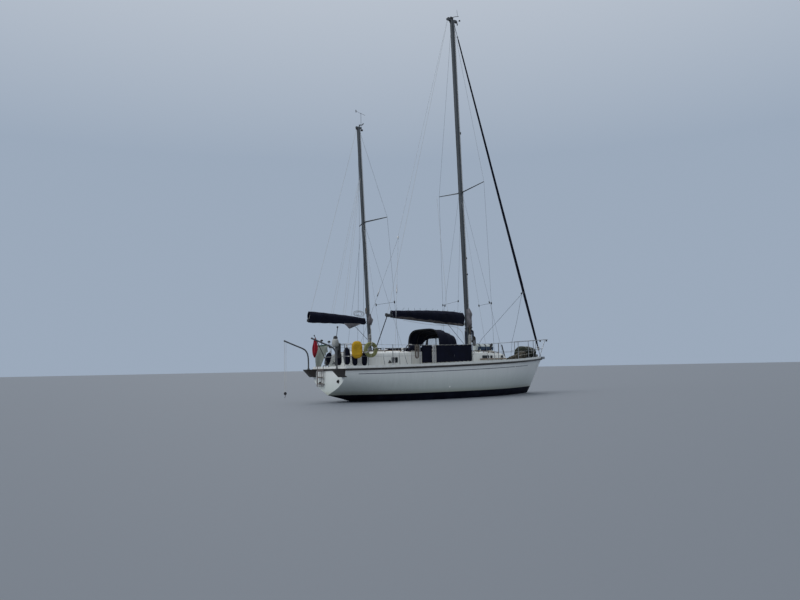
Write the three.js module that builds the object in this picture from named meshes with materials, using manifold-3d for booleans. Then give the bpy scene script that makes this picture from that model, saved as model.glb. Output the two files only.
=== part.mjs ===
// A ketch-rigged cruising yacht with a centre cockpit, lying afloat with her sails stowed.
// Millimetres, +X to the bow, +Y to port, +Z up. The origin is amidships, on the centreline, at the waterline.
import * as THREE from "three";
import { mergeVertices } from "three/addons/utils/BufferGeometryUtils.js";
import Module from "manifold-3d";

const wasm = await Module();
wasm.setup();

// Driving dimensions
const LENGTH = 10800;
const BOW = LENGTH / 2;
const STERN = -LENGTH / 2;
const GAP = 0.3; // between pieces that touch
const DRAUGHT = 1650;
const CAMBER = 60;
const WALL = 40; // moulded cabin sides and coamings
const DECK_JOINT = 30; // the hull meets the deck moulding this far under the sheer, behind the strake
const ALOFT = 2200; // higher than any cabin, for cuts that leave upwards
const SHEER = { aft: 1170, rise: 300, curve: 1.7 };
const MAIN = { x: 1150, rake: 0.028, top: 15800, long: 215, wide: 140 };
const MIZZEN = { x: -3650, rake: 0.045, top: 10150, long: 135, wide: 95 };
const FOOTWELL = { aft: -2350, fore: -700, half: 330, sole: 800 };
const COAMING = { aft: -2500, fore: -600, half: 1000, top: 1740, thick: 60 };
const WHEEL = { x: -1830, z: 1700, radius: 350, rim: 15 };
const RUDDER = { x: -4230, top: 20, foot: -1230, chord: 560, thick: 110, clear: 8 };
const STOCK = { radius: 26, head: 180, play: 0.7 };
const SHAFT = { x: -3120, z: -690, drop: 0.1 };
const PIN = { reach: 38, radius: 14, cheek: 12 }; // the booms' pivot pins and their cheeks
const DAVIT = {
  y: 1000,
  radius: 26,
  arm: [[-5660, 1166.3], [-5668, 1560], [-5705, 1740], [-5790, 1860], [-5900, 1920], [-6250, 2050], [-6620, 2190]],
};
const WIRE = { low: 1965, rise: 0.0055, radius: 5 };

// One row for each hull section: its station, half beam at the deck edge, height of the keel line, and the two
// control points of its bilge curve, as shares of the half beam and of the depth.
const SECTIONS = [
  { x: -5400, half: 1160, keel: 260, inY: 0.53, inZ: 0.26, outY: 1.0, outZ: 0.4 },
  { x: -4400, half: 1370, keel: -20, inY: 0.58, inZ: 0.16, outY: 1.0, outZ: 0.36 },
  { x: -3200, half: 1560, keel: -330, inY: 0.62, inZ: 0.08, outY: 1.0, outZ: 0.31 },
  { x: -1600, half: 1700, keel: -580, inY: 0.66, inZ: 0.03, outY: 0.99, outZ: 0.27 },
  { x: 200, half: 1725, keel: -640, inY: 0.66, inZ: 0.02, outY: 0.98, outZ: 0.26 },
  { x: 1800, half: 1560, keel: -560, inY: 0.56, inZ: 0.03, outY: 0.94, outZ: 0.29 },
  { x: 3000, half: 1240, keel: -440, inY: 0.4, inZ: 0.05, outY: 0.84, outZ: 0.36 },
  { x: 3900, half: 860, keel: -280, inY: 0.25, inZ: 0.08, outY: 0.68, outZ: 0.44 },
  { x: 4450, half: 570, keel: 30, inY: 0.22, inZ: 0.12, outY: 0.62, outZ: 0.5 },
  { x: 4950, half: 285, keel: 745, inY: 0.3, inZ: 0.25, outY: 0.65, outZ: 0.6 },
  { x: 5400, half: 25, keel: 1425, inY: 0.5, inZ: 0.3, outY: 0.9, outZ: 0.6 },
];

const FINISHES = {
  gelcoat: { color: 0xd9dcd6, roughness: 0.35, metalness: 0 },
  antifouling: { color: 0x10131f, roughness: 0.8, metalness: 0 },
  cast_iron: { color: 0x14172a, roughness: 0.8, metalness: 0.2 },
  dark_wood: { color: 0x1c1a18, roughness: 0.6, metalness: 0 },
  navy_canvas: { color: 0x0b1026, roughness: 0.95, metalness: 0 },
  anodised: { color: 0x8a8676, roughness: 0.45, metalness: 0.8 },
  stainless: { color: 0xb9bcc0, roughness: 0.25, metalness: 1 },
  wire: { color: 0x7d848b, roughness: 0.4, metalness: 0.9 },
  yellow_cloth: { color: 0xc79a1c, roughness: 0.9, metalness: 0 },
  green_rope: { color: 0x8f9350, roughness: 0.95, metalness: 0 },
  red_cloth: { color: 0x8c1426, roughness: 0.9, metalness: 0 },
  pale_canvas: { color: 0xaab0aa, roughness: 0.9, metalness: 0 },
  olive_canvas: { color: 0x33372a, roughness: 0.95, metalness: 0 },
  engine_paint: { color: 0x6d7f8a, roughness: 0.5, metalness: 0.3 },
  bronze: { color: 0x9a7b45, roughness: 0.4, metalness: 1 },
  white_line: { color: 0xc9c9c2, roughness: 0.9, metalness: 0 },
};

const yacht = new THREE.Group();
const made = {};

function manifold(positions, triangles) {
  const vertProperties = new Float32Array(positions);
  return new wasm.Manifold(new wasm.Mesh({ numProp: 3, vertProperties, triVerts: new Uint32Array(triangles) }));
}

function solid(geometry) {
  const bare = geometry.clone();
  bare.deleteAttribute("normal");
  bare.deleteAttribute("uv");
  const merged = mergeVertices(bare, 1e-3);
  return manifold(merged.attributes.position.array, merged.index.array);
}

// A closed skin through rings of points with the same count. A loop joins the last ring to the first.
function loft(rings, loop = false) {
  const count = rings[0].length;
  const positions = rings.flat(2);
  const triangles = [];
  const spans = loop ? rings.length : rings.length - 1;
  for (let i = 0; i < spans; i++) {
    const next = (i + 1) % rings.length;
    for (let j = 0; j < count; j++) {
      const k = (j + 1) % count;
      const [a, b, c, d] = [i * count + j, i * count + k, next * count + k, next * count + j];
      triangles.push(a, b, c, a, c, d);
    }
  }
  if (!loop) {
    for (const i of [0, rings.length - 1]) {
      const centre = positions.length / 3;
      positions.push(...[0, 1, 2].map((axis) => rings[i].reduce((sum, p) => sum + p[axis], 0) / count));
      for (let j = 0; j < count; j++) {
        const [a, b] = [i * count + j, i * count + ((j + 1) % count)];
        triangles.push(...(i === 0 ? [b, a, centre] : [a, b, centre]));
      }
    }
  }
  const skin = manifold(positions, triangles);
  return skin.volume() > 0 ? skin : manifold(positions, triangles.reverse());
}

function box(x0, x1, y0, y1, z0, z1) {
  const shape = new THREE.BoxGeometry(x1 - x0, y1 - y0, z1 - z0);
  return solid(shape.translate((x0 + x1) / 2, (y0 + y1) / 2, (z0 + z1) / 2));
}

// A round bar from one point to another, which may taper.
function rod(from, to, radius, endRadius = radius, sides = 8) {
  const a = new THREE.Vector3(...from);
  const b = new THREE.Vector3(...to);
  const along = b.clone().sub(a);
  const shape = new THREE.CylinderGeometry(endRadius, radius, along.length(), sides);
  const turn = new THREE.Quaternion().setFromUnitVectors(new THREE.Vector3(0, 1, 0), along.normalize());
  return solid(shape.applyQuaternion(turn).translate(...a.add(b).multiplyScalar(0.5).toArray()));
}

function ball(centre, radius, sides = 8, stretch = [1, 1, 1]) {
  const shape = new THREE.SphereGeometry(radius, sides, Math.max(4, sides / 2));
  return solid(shape.rotateX(Math.PI / 2).scale(...stretch).translate(...centre));
}

function join(...solids) {
  return solids.flat().reduce((all, one) => all.add(one));
}

// A bent tube: straight bars with a ball at each bend.
function pipe(points, radius, sides = 8) {
  const bars = points.slice(1).map((point, i) => rod(points[i], point, radius, radius, sides));
  return join(bars, points.slice(1, -1).map((point) => ball(point, radius * 1.03, sides)));
}

// A smoothly bent tube through the points given.
function tube(points, radius, steps = 24, sides = 8) {
  const section = new THREE.Shape();
  section.absarc(0, 0, radius, 0, 2 * Math.PI);
  const curve = new THREE.CatmullRomCurve3(points.map((p) => new THREE.Vector3(...p)), false, "centripetal");
  const round = Math.ceil(sides / 2);
  return solid(new THREE.ExtrudeGeometry(section, { extrudePath: curve, steps, curveSegments: 2 * round }));
}

function mirrored(points) {
  return points.map(([x, y, z]) => [x, -y, z]);
}

function ellipse(x, y, z, a, b, count = 16) {
  return Array.from({ length: count }, (_, i) => {
    const angle = (2 * Math.PI * i) / count;
    return [x + a * Math.cos(angle), y + b * Math.sin(angle), z];
  });
}

// Cuts each neighbour out of a solid with a gap all round, and keeps the largest piece that is left.
function clearOf(shape, ...neighbours) {
  let left = shape;
  for (const other of neighbours) {
    for (const step of [[GAP, 0, 0], [-GAP, 0, 0], [0, GAP, 0], [0, -GAP, 0], [0, 0, GAP], [0, 0, -GAP]]) {
      left = left.subtract(other.translate(step));
    }
  }
  return left.decompose().reduce((best, one) => (one.volume() > best.volume() ? one : best));
}

function add(name, shape, finish) {
  const skin = shape.getMesh();
  const geometry = new THREE.BufferGeometry();
  const points = [];
  for (let i = 0; i < skin.numVert; i++) {
    points.push(...skin.vertProperties.subarray(i * skin.numProp, i * skin.numProp + 3));
  }
  geometry.setAttribute("position", new THREE.Float32BufferAttribute(points, 3));
  geometry.setIndex([...skin.triVerts]);
  geometry.computeVertexNormals();
  const mesh = new THREE.Mesh(geometry, new THREE.MeshStandardMaterial(FINISHES[finish]));
  mesh.name = name;
  yacht.add(mesh);
  made[name] = shape;
}

// Hull lines
function lineAt(column, x) {
  const last = SECTIONS.length - 1;
  let i = SECTIONS.findIndex((row) => row.x > x) - 1;
  if (i < 0) i = x >= SECTIONS[last].x ? last - 1 : 0;
  const [p, q, r, s] = [i - 1, i, i + 1, i + 2].map((k) => SECTIONS[Math.min(last, Math.max(0, k))]);
  const span = r.x - q.x;
  const t = (x - q.x) / span;
  const inSlope = ((r[column] - p[column]) / (r.x - p.x)) * span;
  const outSlope = ((s[column] - q[column]) / (s.x - q.x)) * span;
  return (
    (2 * t ** 3 - 3 * t ** 2 + 1) * q[column] +
    (t ** 3 - 2 * t ** 2 + t) * inSlope +
    (3 * t ** 2 - 2 * t ** 3) * r[column] +
    (t ** 3 - t ** 2) * outSlope
  );
}

function sheerAt(x) {
  return SHEER.aft + SHEER.rise * Math.max(0, (x - STERN) / LENGTH) ** SHEER.curve;
}

function halfAt(x) {
  return lineAt("half", x);
}

// The deck is flat from the middle to half the half beam, and from there to the edge.
function deckAt(x, y = 0) {
  const share = Math.abs(y) / halfAt(x);
  return sheerAt(x) + CAMBER * (share < 0.5 ? 1 - share / 2 : 1.5 * (1 - share));
}

function hullRing(x, sidePoints = 9) {
  const columns = ["half", "keel", "inY", "inZ", "outY", "outZ"];
  const [half, keel, inY, inZ, outY, outZ] = columns.map((column) => lineAt(column, x));
  const depth = sheerAt(x) - keel;
  const side = [];
  for (let i = 0; i <= sidePoints; i++) {
    const t = i / sidePoints;
    const [w1, w2, w3] = [3 * t * (1 - t) ** 2, 3 * t ** 2 * (1 - t), t ** 3];
    const y = half * (w1 * inY + w2 * outY + w3);
    const z = keel + depth * (w1 * inZ + w2 * outZ + w3);
    side.push([x - (x === STERN ? 0.055 * (sheerAt(x) - z) : 0), y, z]);
  }
  const deck = [0.5, 0, -0.5].map((share) => [x, share * half, deckAt(x, share * half)]);
  return [...side, ...deck, ...mirrored(side.slice(1).reverse())];
}

function hullShape() {
  const stations = Array.from({ length: 22 }, (_, i) => STERN + (i / 21) * (4450 - STERN));
  return loft([...stations, 4700, 4950, 5180, BOW].map((x) => hullRing(x)));
}

// The deck edge in plan, from the stem down the port side, across the transom and back, shifted inboard.
function deckEdge(inset) {
  const corner = STERN + inset + 4;
  const stations = [5380, 5150, 4800, 4400, 3800, 3100, 2200, 1200, 0, -1300, -2600, -3800, -4700, corner];
  const port = stations.map((x) => [x - (x > 5000 ? inset : 0), Math.max(6, halfAt(x) - inset), sheerAt(x)]);
  return [...port, ...mirrored([...port].reverse())];
}

// A band that runs right round the deck edge, between two insets and two heights over the sheer.
function edgeBand(outer, inner, low, high) {
  const [outside, inside] = [deckEdge(outer), deckEdge(inner)];
  const rings = outside.map(([x, y, z], i) => {
    const [u, v] = inside[i];
    return [[x, y, z + low], [x, y, z + high], [u, v, z + high], [u, v, z + low]];
  });
  return loft(rings, true);
}

// Triangular brackets stand out from the transom's corners, in line with the strake, and carry the davits.
function quarterBrackets() {
  const profile = [[STERN + 60, 1166], [-5820, 1166], [-5815, 1140], [-5560, 890], [STERN + 60, 890]];
  return [1, -1].map((side) => (
    loft([DAVIT.y - 100, DAVIT.y + 120].map((y) => profile.map(([x, z]) => [x, side * y, z])))
  ));
}

// Everything above the joint between hull and deck.
function overJoint() {
  const stations = Array.from({ length: 19 }, (_, i) => STERN - 100 + (i / 18) * (LENGTH + 200));
  return loft(stations.map((x) => {
    const z = sheerAt(x) - DECK_JOINT;
    return [[x, -2000, z], [x, 2000, z], [x, 2000, ALOFT], [x, -2000, ALOFT]];
  }));
}

function buildHull() {
  const whole = hullShape();
  const saloon = join(box(-540, 2450, -740, 740, 450, ALOFT), box(-540, 2250, -500, 500, -150, 460));
  const engineBay = box(-1900, -530, -400, 400, -200, 560);
  const aftCabin = box(-4450, -2620, -640, 640, 420, ALOFT);
  const footwell = box(FOOTWELL.aft, FOOTWELL.fore, -FOOTWELL.half, FOOTWELL.half, FOOTWELL.sole, ALOFT);
  const forepeak = box(3100, 3520, -210, 210, 600, ALOFT);
  made.wholeHull = whole;
  const stockX = RUDDER.x - 20;
  const boreRadius = STOCK.radius + STOCK.play;
  const bore = rod([stockX, 0, -300], [stockX, 0, STOCK.head + 1], boreRadius, boreRadius, 24);
  const cuts = [saloon, engineBay, aftCabin, footwell, forepeak, bore];
  const moulding = cuts.reduce((left, cut) => left.subtract(cut), whole);
  const over = overJoint();
  add("hull", moulding.subtract(over.translate([0, 0, -GAP])), "gelcoat");
  add("deck", moulding.intersect(over), "gelcoat");
  add("engine_block", box(-1750, -950, -250, 250, -200 + GAP, 380), "engine_paint");
  add("rubbing_strake", clearOf(join(edgeBand(-34, 2, -62, 6), quarterBrackets()), whole), "dark_wood");
  add("toe_rail", clearOf(edgeBand(5, 52, -4, 92), whole), "gelcoat");
}

function foil(z, noseX, tailX, thick) {
  const chord = noseX - tailX;
  const shares = [[0, 0], [0.06, 0.6], [0.3, 1], [0.65, 0.7], [1, 0.06]];
  const port = shares.map(([along, width]) => [noseX - along * chord, (width * thick) / 2, z]);
  return [...port, ...mirrored(port.slice(1).reverse())];
}

function buildUnderwater() {
  const hull = made.wholeHull;
  const keel = loft([
    foil(-350, 1500, -1150, 210), foil(-900, 1250, -1000, 230),
    foil(-1450, 1000, -860, 260), foil(-DRAUGHT, 900, -820, 250),
  ]);
  add("fin_keel", clearOf(keel, hull), "cast_iron");
  const skeg = loft([foil(120, -3260, RUDDER.x + 22, 130), foil(-1020, -3820, RUDDER.x + 22, 70)]);
  add("rudder_skeg", clearOf(skeg, hull), "antifouling");
  const [shaftX, shaftZ] = [SHAFT.x + 40, SHAFT.z + 4];
  const strut = join(
    rod([-1900, 0, shaftZ + (-1900 - shaftX) * SHAFT.drop], [shaftX, 0, shaftZ], 16),
    rod([-2960, 0, -380], [-2960, 0, -690], 26),
    rod([-3040, 0, SHAFT.z + 12], [-2890, 0, SHAFT.z + 27], 38),
  );
  add("propeller_strut", clearOf(strut, hull), "bronze");
}

function buildPropeller() {
  const blades = [0, 1, 2].map((i) => {
    const geometry = new THREE.SphereGeometry(1, 8, 6).scale(12, 62, 95);
    geometry.rotateZ(0.5).translate(0, 0, 112).rotateX((i * 2 * Math.PI) / 3).rotateY(-SHAFT.drop);
    return solid(geometry.translate(SHAFT.x, 0, SHAFT.z));
  });
  const hub = rod([SHAFT.x - 70, 0, SHAFT.z - 7], [SHAFT.x + 39.7, 0, SHAFT.z + 3.97], 24, 34);
  add("propeller", clearOf(join(hub, blades), made.propeller_strut), "bronze");
}

function buildRudder() {
  const { x, top, foot, chord, thick, clear } = RUDDER;
  const nose = x + 10;
  const blade = loft([
    foil(top, nose, x - chord * 0.8, thick),
    foil(-500, nose, x - chord, thick),
    foil(foot, nose, x - chord * 0.75, 70),
  ]);
  const stock = rod([x - 20, 0, top - 150], [x - 20, 0, STOCK.head], STOCK.radius, STOCK.radius, 24);
  const roof = loft([40, -140, -320, -500, -680].map((step) => {
    const z = lineAt("keel", x + step) - clear;
    return [[x + step, -150, z], [x + step, 150, z], [x + step, 150, 400], [x + step, -150, 400]];
  }));
  add("rudder", clearOf(blade.subtract(roof), made.rudder_skeg).add(stock), "antifouling");
}

// Cabin trunks: rings of a side, a rounded edge and a cambered roof, one for each row.
function trunkRings(rows, inset) {
  return rows.map(({ x, half, top, end = 0 }) => {
    const [w, z] = [half - inset, top - inset];
    const shift = x - end * inset;
    const side = [[shift, w, 1000], [shift, w - 10, z - 60], [shift, w - 55, z - 8]];
    const port = [...side, [shift, w * 0.5, z + 45]];
    return [...port, [shift, 0, z + 62], ...mirrored([...port].reverse())];
  });
}

function trunk(rows, inset = 0) {
  return loft(trunkRings(rows, inset));
}

const FORWARD_TRUNK = [
  { x: -560, half: 900, top: 1775, end: -1 },
  { x: 900, half: 830, top: 1725 },
  { x: 2200, half: 640, top: 1680 },
  { x: 2600, half: 560, top: 1655 },
  { x: 2900, half: 490, top: 1400, end: 1 },
];
const AFT_TRUNK = [
  { x: -4900, half: 860, top: 1660, end: -1 },
  { x: -4600, half: 900, top: 1700 },
  { x: -2520, half: 1000, top: 1740, end: 1 },
];
// Window openings: the ends along the trunk and the heights of sill and head.
const FORWARD_WINDOWS = [
  { x0: -330, x1: 330, z0: 1480, z1: 1640 },
  { x0: 1170, x1: 1570, z0: 1490, z1: 1590 },
  { x0: 1670, x1: 1790, z0: 1490, z1: 1590 },
  { x0: 2370, x1: 2510, z0: 1515, z1: 1590 },
];
const AFT_WINDOWS = [
  { x0: -3360, x1: -3130, z0: 1360, z1: 1540 },
];

function buildTrunk(name, rows, windows, cuts, extras = []) {
  let shell = trunk(rows).subtract(trunk(rows, WALL));
  for (const { x0, x1, z0, z1 } of windows) {
    shell = shell.subtract(box(x0, x1, 300, 1200, z0, z1)).subtract(box(x0, x1, -1200, -300, z0, z1));
  }
  shell = cuts.reduce((left, cut) => left.subtract(cut), join(shell, extras));
  add(`${name}_coachroof`, clearOf(shell, made.wholeHull), "gelcoat");
}

const HATCHWAY = { fore: 60, half: 300 };

function buildCabins() {
  const doorway = box(-700, -400, -HATCHWAY.half, HATCHWAY.half, 1330, 2200);
  const scuttle = box(-700, HATCHWAY.fore, -HATCHWAY.half, HATCHWAY.half, 1700, 2200);
  const runners = [318, -342].map((y) => loft([-555, 750].map((x) => {
    const z = slideAt(x) - GAP;
    return [[x, y, z - 45], [x, y + 24, z - 45], [x, y + 24, z], [x, y, z]];
  })));
  buildTrunk("forward", FORWARD_TRUNK, FORWARD_WINDOWS, [doorway, scuttle], runners);
  buildTrunk("aft", AFT_TRUNK, AFT_WINDOWS, [box(-4480, -4020, -230, 230, 1700, 2200)]);
  const { aft, fore, half, top, thick } = COAMING;
  const outside = box(aft, fore, -half, half, 1000, top);
  const inside = box(aft + thick, fore - thick, -half + thick, half - thick, 900, top + 100);
  const ring = outside.subtract(inside).subtract(doorway);
  add("cockpit_coaming", clearOf(ring, made.wholeHull), "gelcoat");
  const board = box(fore - thick + 10, fore - 10, -HATCHWAY.half + GAP, HATCHWAY.half - GAP, 1330 + GAP, 1822);
  add("companionway_washboard", clearOf(board, made.cockpit_coaming), "dark_wood");
}

// The height of the sliding hatch's lower face, parallel to the coachroof's crown.
function slideAt(x) {
  return 1842 - (x + 560) * 0.0342;
}

function buildHatches() {
  const lid = loft([-640, 110].map((x) => {
    const z = slideAt(x);
    return [[x, -350, z], [x, -340, z + 40], [x, 340, z + 40], [x, 350, z]];
  }));
  add("companionway_hatch", lid, "gelcoat");
  const fore = loft([3090, 3530].map((x) => {
    const z = deckAt(x) - 8;
    return [[x, -240, z], [x, -225, z + 60], [x, 225, z + 60], [x, 240, z]];
  }));
  const leaf = box(3072, 3092, -240, 240, deckAt(3090) - 8, deckAt(3090) + 40);
  add("fore_hatch", clearOf(fore.add(leaf), made.wholeHull), "gelcoat");
  const after = loft([-4505, -3995].map((x) => {
    const z = 1757 + (x + 4600) * 0.019;
    return [[x, -255, z], [x, -240, z + 55], [x, 240, z + 55], [x, 255, z]];
  }));
  add("aft_hatch", clearOf(after, trunk(AFT_TRUNK)), "gelcoat");
}

// The sprayhood is a thin shell over its hoops, open aft. Each row is a hoop: station, half width and top.
const HOOD = [
  { x: -1190, half: 985, top: 2650 },
  { x: -760, half: 985, top: 2610 },
  { x: -480, half: 965, top: 2510 },
  { x: -215, half: 940, top: 2400 },
];
const HOOD_FOOT = COAMING.top + 1;

function hoodRing({ x, half, top }, inset) {
  const rise = top - inset - HOOD_FOOT;
  const arch = [];
  for (let i = 0; i <= 16; i++) {
    const angle = (Math.PI * i) / 16;
    const [c, s] = [Math.cos(angle), Math.sin(angle)];
    arch.push([x, Math.sign(c) * Math.abs(c) ** 0.5 * (half - inset), HOOD_FOOT + rise * s ** 0.5]);
  }
  return arch;
}

function buildHood() {
  const outside = loft(HOOD.map((row) => hoodRing(row, 0)));
  const inner = HOOD.map((row, i) => ({ ...row, x: row.x - (i === 0 ? 40 : i === HOOD.length - 1 ? 12 : 0) }));
  const slideway = box(-700, 200, -357, 357, 1700, 1900);
  const inside = loft(inner.map((row) => hoodRing(row, 12))).add(box(-1300, -235, -900, 900, 1700, 1900));
  add("sprayhood", clearOf(outside.subtract(inside).subtract(slideway), trunk(FORWARD_TRUNK)), "navy_canvas");
}

function buildDodger(name, aft, fore, side) {
  const between = STANCHIONS.filter((x) => x > aft && x < fore);
  const reach = (between.length ? 13 : WIRE.radius) + GAP;
  const rings = [aft, ...between, fore].map((x) => {
    const y = side * (wireSide(x) + reach);
    const [foot, head] = [sheerAt(x) + 110, wireAt(x)];
    return [[x, y, foot], [x, y + side * 8, foot], [x, y + side * 8, head], [x, y, head]];
  });
  add(name, loft(rings), "navy_canvas");
}

function wireAt(x) {
  return WIRE.low + (WIRE.rise * (x - COAMING.aft) ** 2) / 1000;
}

const STANCHIONS = [-3650, -2560, -1960, -1040, -140, 1300, 2700, 3700];
const RAIL_ENDS = { aft: -4560, fore: 4350 };

// How far the guard wires stand from the centreline: they run straight from post to post.
function wireSide(x) {
  const posts = [RAIL_ENDS.aft, ...STANCHIONS, RAIL_ENDS.fore];
  const i = Math.max(0, Math.min(posts.length - 2, posts.findIndex((post) => post > x) - 1));
  const share = (x - posts[i]) / (posts[i + 1] - posts[i]);
  return (1 - share) * (halfAt(posts[i]) - 70) + share * (halfAt(posts[i + 1]) - 70);
}

function buildRails() {
  const sternY = 1010;
  const bowY = halfAt(4350) - 70;
  const tall = (x) => wireAt(x);
  const middle = (x) => (sheerAt(x) + wireAt(x)) / 2;
  const plan = [[-4560, halfAt(-4560) - 70], [-5200, 1100], [-5330, sternY - 40]];
  const hoop = (z) => {
    const port = plan.map(([x, y]) => [x, y, z(x)]);
    return [...port, ...mirrored([...port].reverse())];
  };
  const legs = [[-4560, halfAt(-4560) - 70], [-5330, sternY - 40], [-5330, 330]].flatMap(([x, y]) => [
    rod([x, y, 1150], [x, y, tall(x)], 13), rod([x, -y, 1150], [x, -y, tall(x)], 13),
  ]);
  const hoops = [pipe(hoop(tall), 13), pipe(hoop(middle), 11)];
  add("pushpit", clearOf(join(hoops, legs), made.wholeHull, made.toe_rail), "stainless");
  const nose = [[4350, bowY, tall(4350)], [5450, 260, 2290], [5740, 120, 2300]];
  const knee = [[4350, bowY, middle(4350)], [5150, 170, 1890]];
  const bowLegs = [
    rod([4350, bowY, 1350], nose[0], 13), rod([4350, -bowY, 1350], mirrored(nose)[0], 13),
    rod([5120, 130, 1420], [5420, 268, 2288], 13), rod([5120, -130, 1420], [5420, -268, 2288], 13),
  ];
  const top = pipe([...nose, ...mirrored([...nose].reverse())], 13);
  const lower = join(pipe([...knee, [5262, 195, 1890]], 11), pipe(mirrored([...knee, [5262, 195, 1890]]), 11));
  add("pulpit", clearOf(join(top, lower, bowLegs), made.wholeHull, made.toe_rail), "stainless");
  for (const side of [1, -1]) {
    const at = (x, z) => [x, side * (halfAt(x) - 70), z];
    const stations = [RAIL_ENDS.aft, ...STANCHIONS, RAIL_ENDS.fore];
    const posts = STANCHIONS.map((x) => rod(at(x, sheerAt(x) - 20), at(x, tall(x) + 12), 13));
    const wires = [tall, middle].map((z) => pipe(stations.map((x) => at(x, z(x))), WIRE.radius, 6));
    const name = `guardrail_${side > 0 ? "port" : "starboard"}`;
    const held = [made.wholeHull, made.toe_rail, made.pushpit, made.pulpit];
    add(name, clearOf(join(posts, wires), ...held), "stainless");
    buildDodger(`dodger_aft_${side > 0 ? "port" : "starboard"}`, -2490, -2050, side);
    buildDodger(`dodger_long_${side > 0 ? "port" : "starboard"}`, -1870, -190, side);
  }
}

function mastAt({ x, rake }, z) {
  return x - rake * (z - 1500);
}

// A pair of cheeks abaft a mast, square to it, over and under the boom's pivot pin.
function cheeks(mast, { x, z }) {
  const face = mastAt(mast, z) - mast.long / 2 + 20;
  return [PIN.reach + GAP, -PIN.reach - GAP - PIN.cheek].map((step) => loft([x - 18, face].map((at) => {
    const low = z + step + (at - x) * mast.rake;
    return [[at, -20, low], [at, 20, low], [at, 20, low + PIN.cheek], [at, -20, low + PIN.cheek]];
  })));
}

function spar(mast, foot, top, grow = 0) {
  const ring = (z) => ellipse(mastAt(mast, z), 0, z, mast.long / 2 + grow, mast.wide / 2 + grow);
  return loft([ring(foot), ring(top)]);
}

// A collar round the mast with an arm to each spreader tip.
function spreaders(mast, { root, tip }) {
  const x = mastAt(mast, root);
  const collar = spar(mast, root - 45, root + 45, 9);
  const arms = [1, -1].map((side) => rod([x, 0, root], [tip[0], side * tip[1], tip[2]], 27, 17, 8));
  return join(collar, arms).subtract(spar(mast, root - 200, root + 200, GAP));
}

function buildMasts() {
  const truck = mastAt(MAIN, MAIN.top);
  const crane = box(truck - 290, truck + 210, -40, 40, MAIN.top - 30, MAIN.top + 45);
  const heel = box(1010, 1275, -95, 95, 1500, 1830);
  const main = join(spar(MAIN, 1500, MAIN.top), crane, heel, cheeks(MAIN, MAIN_BOOM));
  add("main_mast", clearOf(main, trunk(FORWARD_TRUNK)), "anodised");
  add("main_spreaders", spreaders(MAIN, MAIN_SPREADERS), "anodised");
  const head = mastAt(MIZZEN, MIZZEN.top);
  const cap = box(head - 110, head + 130, -32, 32, MIZZEN.top - 20, MIZZEN.top + 35);
  const pivot = head + 118;
  const stalk = rod([pivot, 0, MIZZEN.top], [pivot, 0, 10720], 7);
  const step = box(-3745, -3560, -75, 75, 1500, 1835);
  const mizzen = join(spar(MIZZEN, 1500, MIZZEN.top), cap, stalk, step, cheeks(MIZZEN, MIZZEN_BOOM));
  add("mizzen_mast", clearOf(mizzen, trunk(AFT_TRUNK)), "anodised");
  add("mizzen_spreaders", spreaders(MIZZEN, MIZZEN_SPREADERS), "anodised");
  const vaneZ = 10720 + 12 + GAP;
  const vane = join(
    rod([pivot, 0, 10720 + GAP], [pivot, 0, 10745], 12),
    rod([pivot - 280, -90, vaneZ], [pivot + 230, 74, vaneZ], 5),
    rod([pivot - 270, -87, vaneZ - 40], [pivot - 275, -88, vaneZ + 50], 18, 18, 4),
  );
  add("wind_vane", vane, "dark_wood");
}

// The point a little way out from an arm's tip, in line with the arm.
function beyond(root, tip, reach) {
  const along = new THREE.Vector3(...tip).sub(new THREE.Vector3(...root)).normalize();
  return new THREE.Vector3(...tip).addScaledVector(along, reach).toArray();
}

function shroud(mast, { top, root, tip, footX }, side) {
  const clear = WIRE.radius + GAP;
  const footY = halfAt(footX) - 130;
  const tipOut = beyond([mastAt(mast, root), 0, root], tip, WIRE.radius + 7);
  const points = [[mastAt(mast, top), mast.wide / 2 + clear, top], tipOut, [footX, footY, deckAt(footX, footY) + 1]];
  return pipe(side > 0 ? points : mirrored(points), WIRE.radius, 6);
}

const MAIN_SPREADERS = { top: 15600, root: 8350, tip: [960, 1400, 8500], footX: 1130 };
const MIZZEN_SPREADERS = { top: 10060, root: 6560, tip: [-3455, 930, 6630], footX: -3330 };
// The backstay runs from the mast's crane to a plate, and from there in two legs to the side decks.
const BACKSTAY = { plateX: -2300, plateZ: 6120, plateTall: 70, footX: -3580, footY: 1420 };

function buildStays() {
  const { plateX, plateZ, plateTall, footX, footY } = BACKSTAY;
  const radius = WIRE.radius;
  const head = [mastAt(MAIN, MAIN.top) - 270, 0, MAIN.top - 30 - GAP - 2];
  const plate = box(plateX - 22, plateX + 22, -14, 14, plateZ, plateZ + plateTall);
  add("main_backstay", join(rod(head, [plateX, 0, plateZ + plateTall - 10], radius, radius, 6), plate), "wire");
  for (const side of [1, -1]) {
    const hand = side > 0 ? "port" : "starboard";
    const top = [plateX, side * 7, plateZ - GAP - 2];
    const foot = [footX, side * footY, deckAt(footX, footY) + GAP + 2];
    add(`backstay_leg_${hand}`, rod(top, foot, radius, radius, 6), "wire");
    add(`main_shroud_${hand}`, shroud(MAIN, MAIN_SPREADERS, side), "wire");
    add(`mizzen_shroud_${hand}`, shroud(MIZZEN, MIZZEN_SPREADERS, side), "wire");
  }
}

// The headsail is rolled round its stay: each row is a height and the roll's radius there.
const ROLL = [
  [2005.3, 24], [2300, 46], [4400, 58], [8500, 50], [12500, 38], [15000, 27], [15150, 14], [15769, 7],
];
const FORESTAY = { footX: 5368, footZ: 1560, slope: 0.3192 };

function forestayX(z) {
  return FORESTAY.footX - FORESTAY.slope * (z - FORESTAY.footZ);
}

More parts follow.
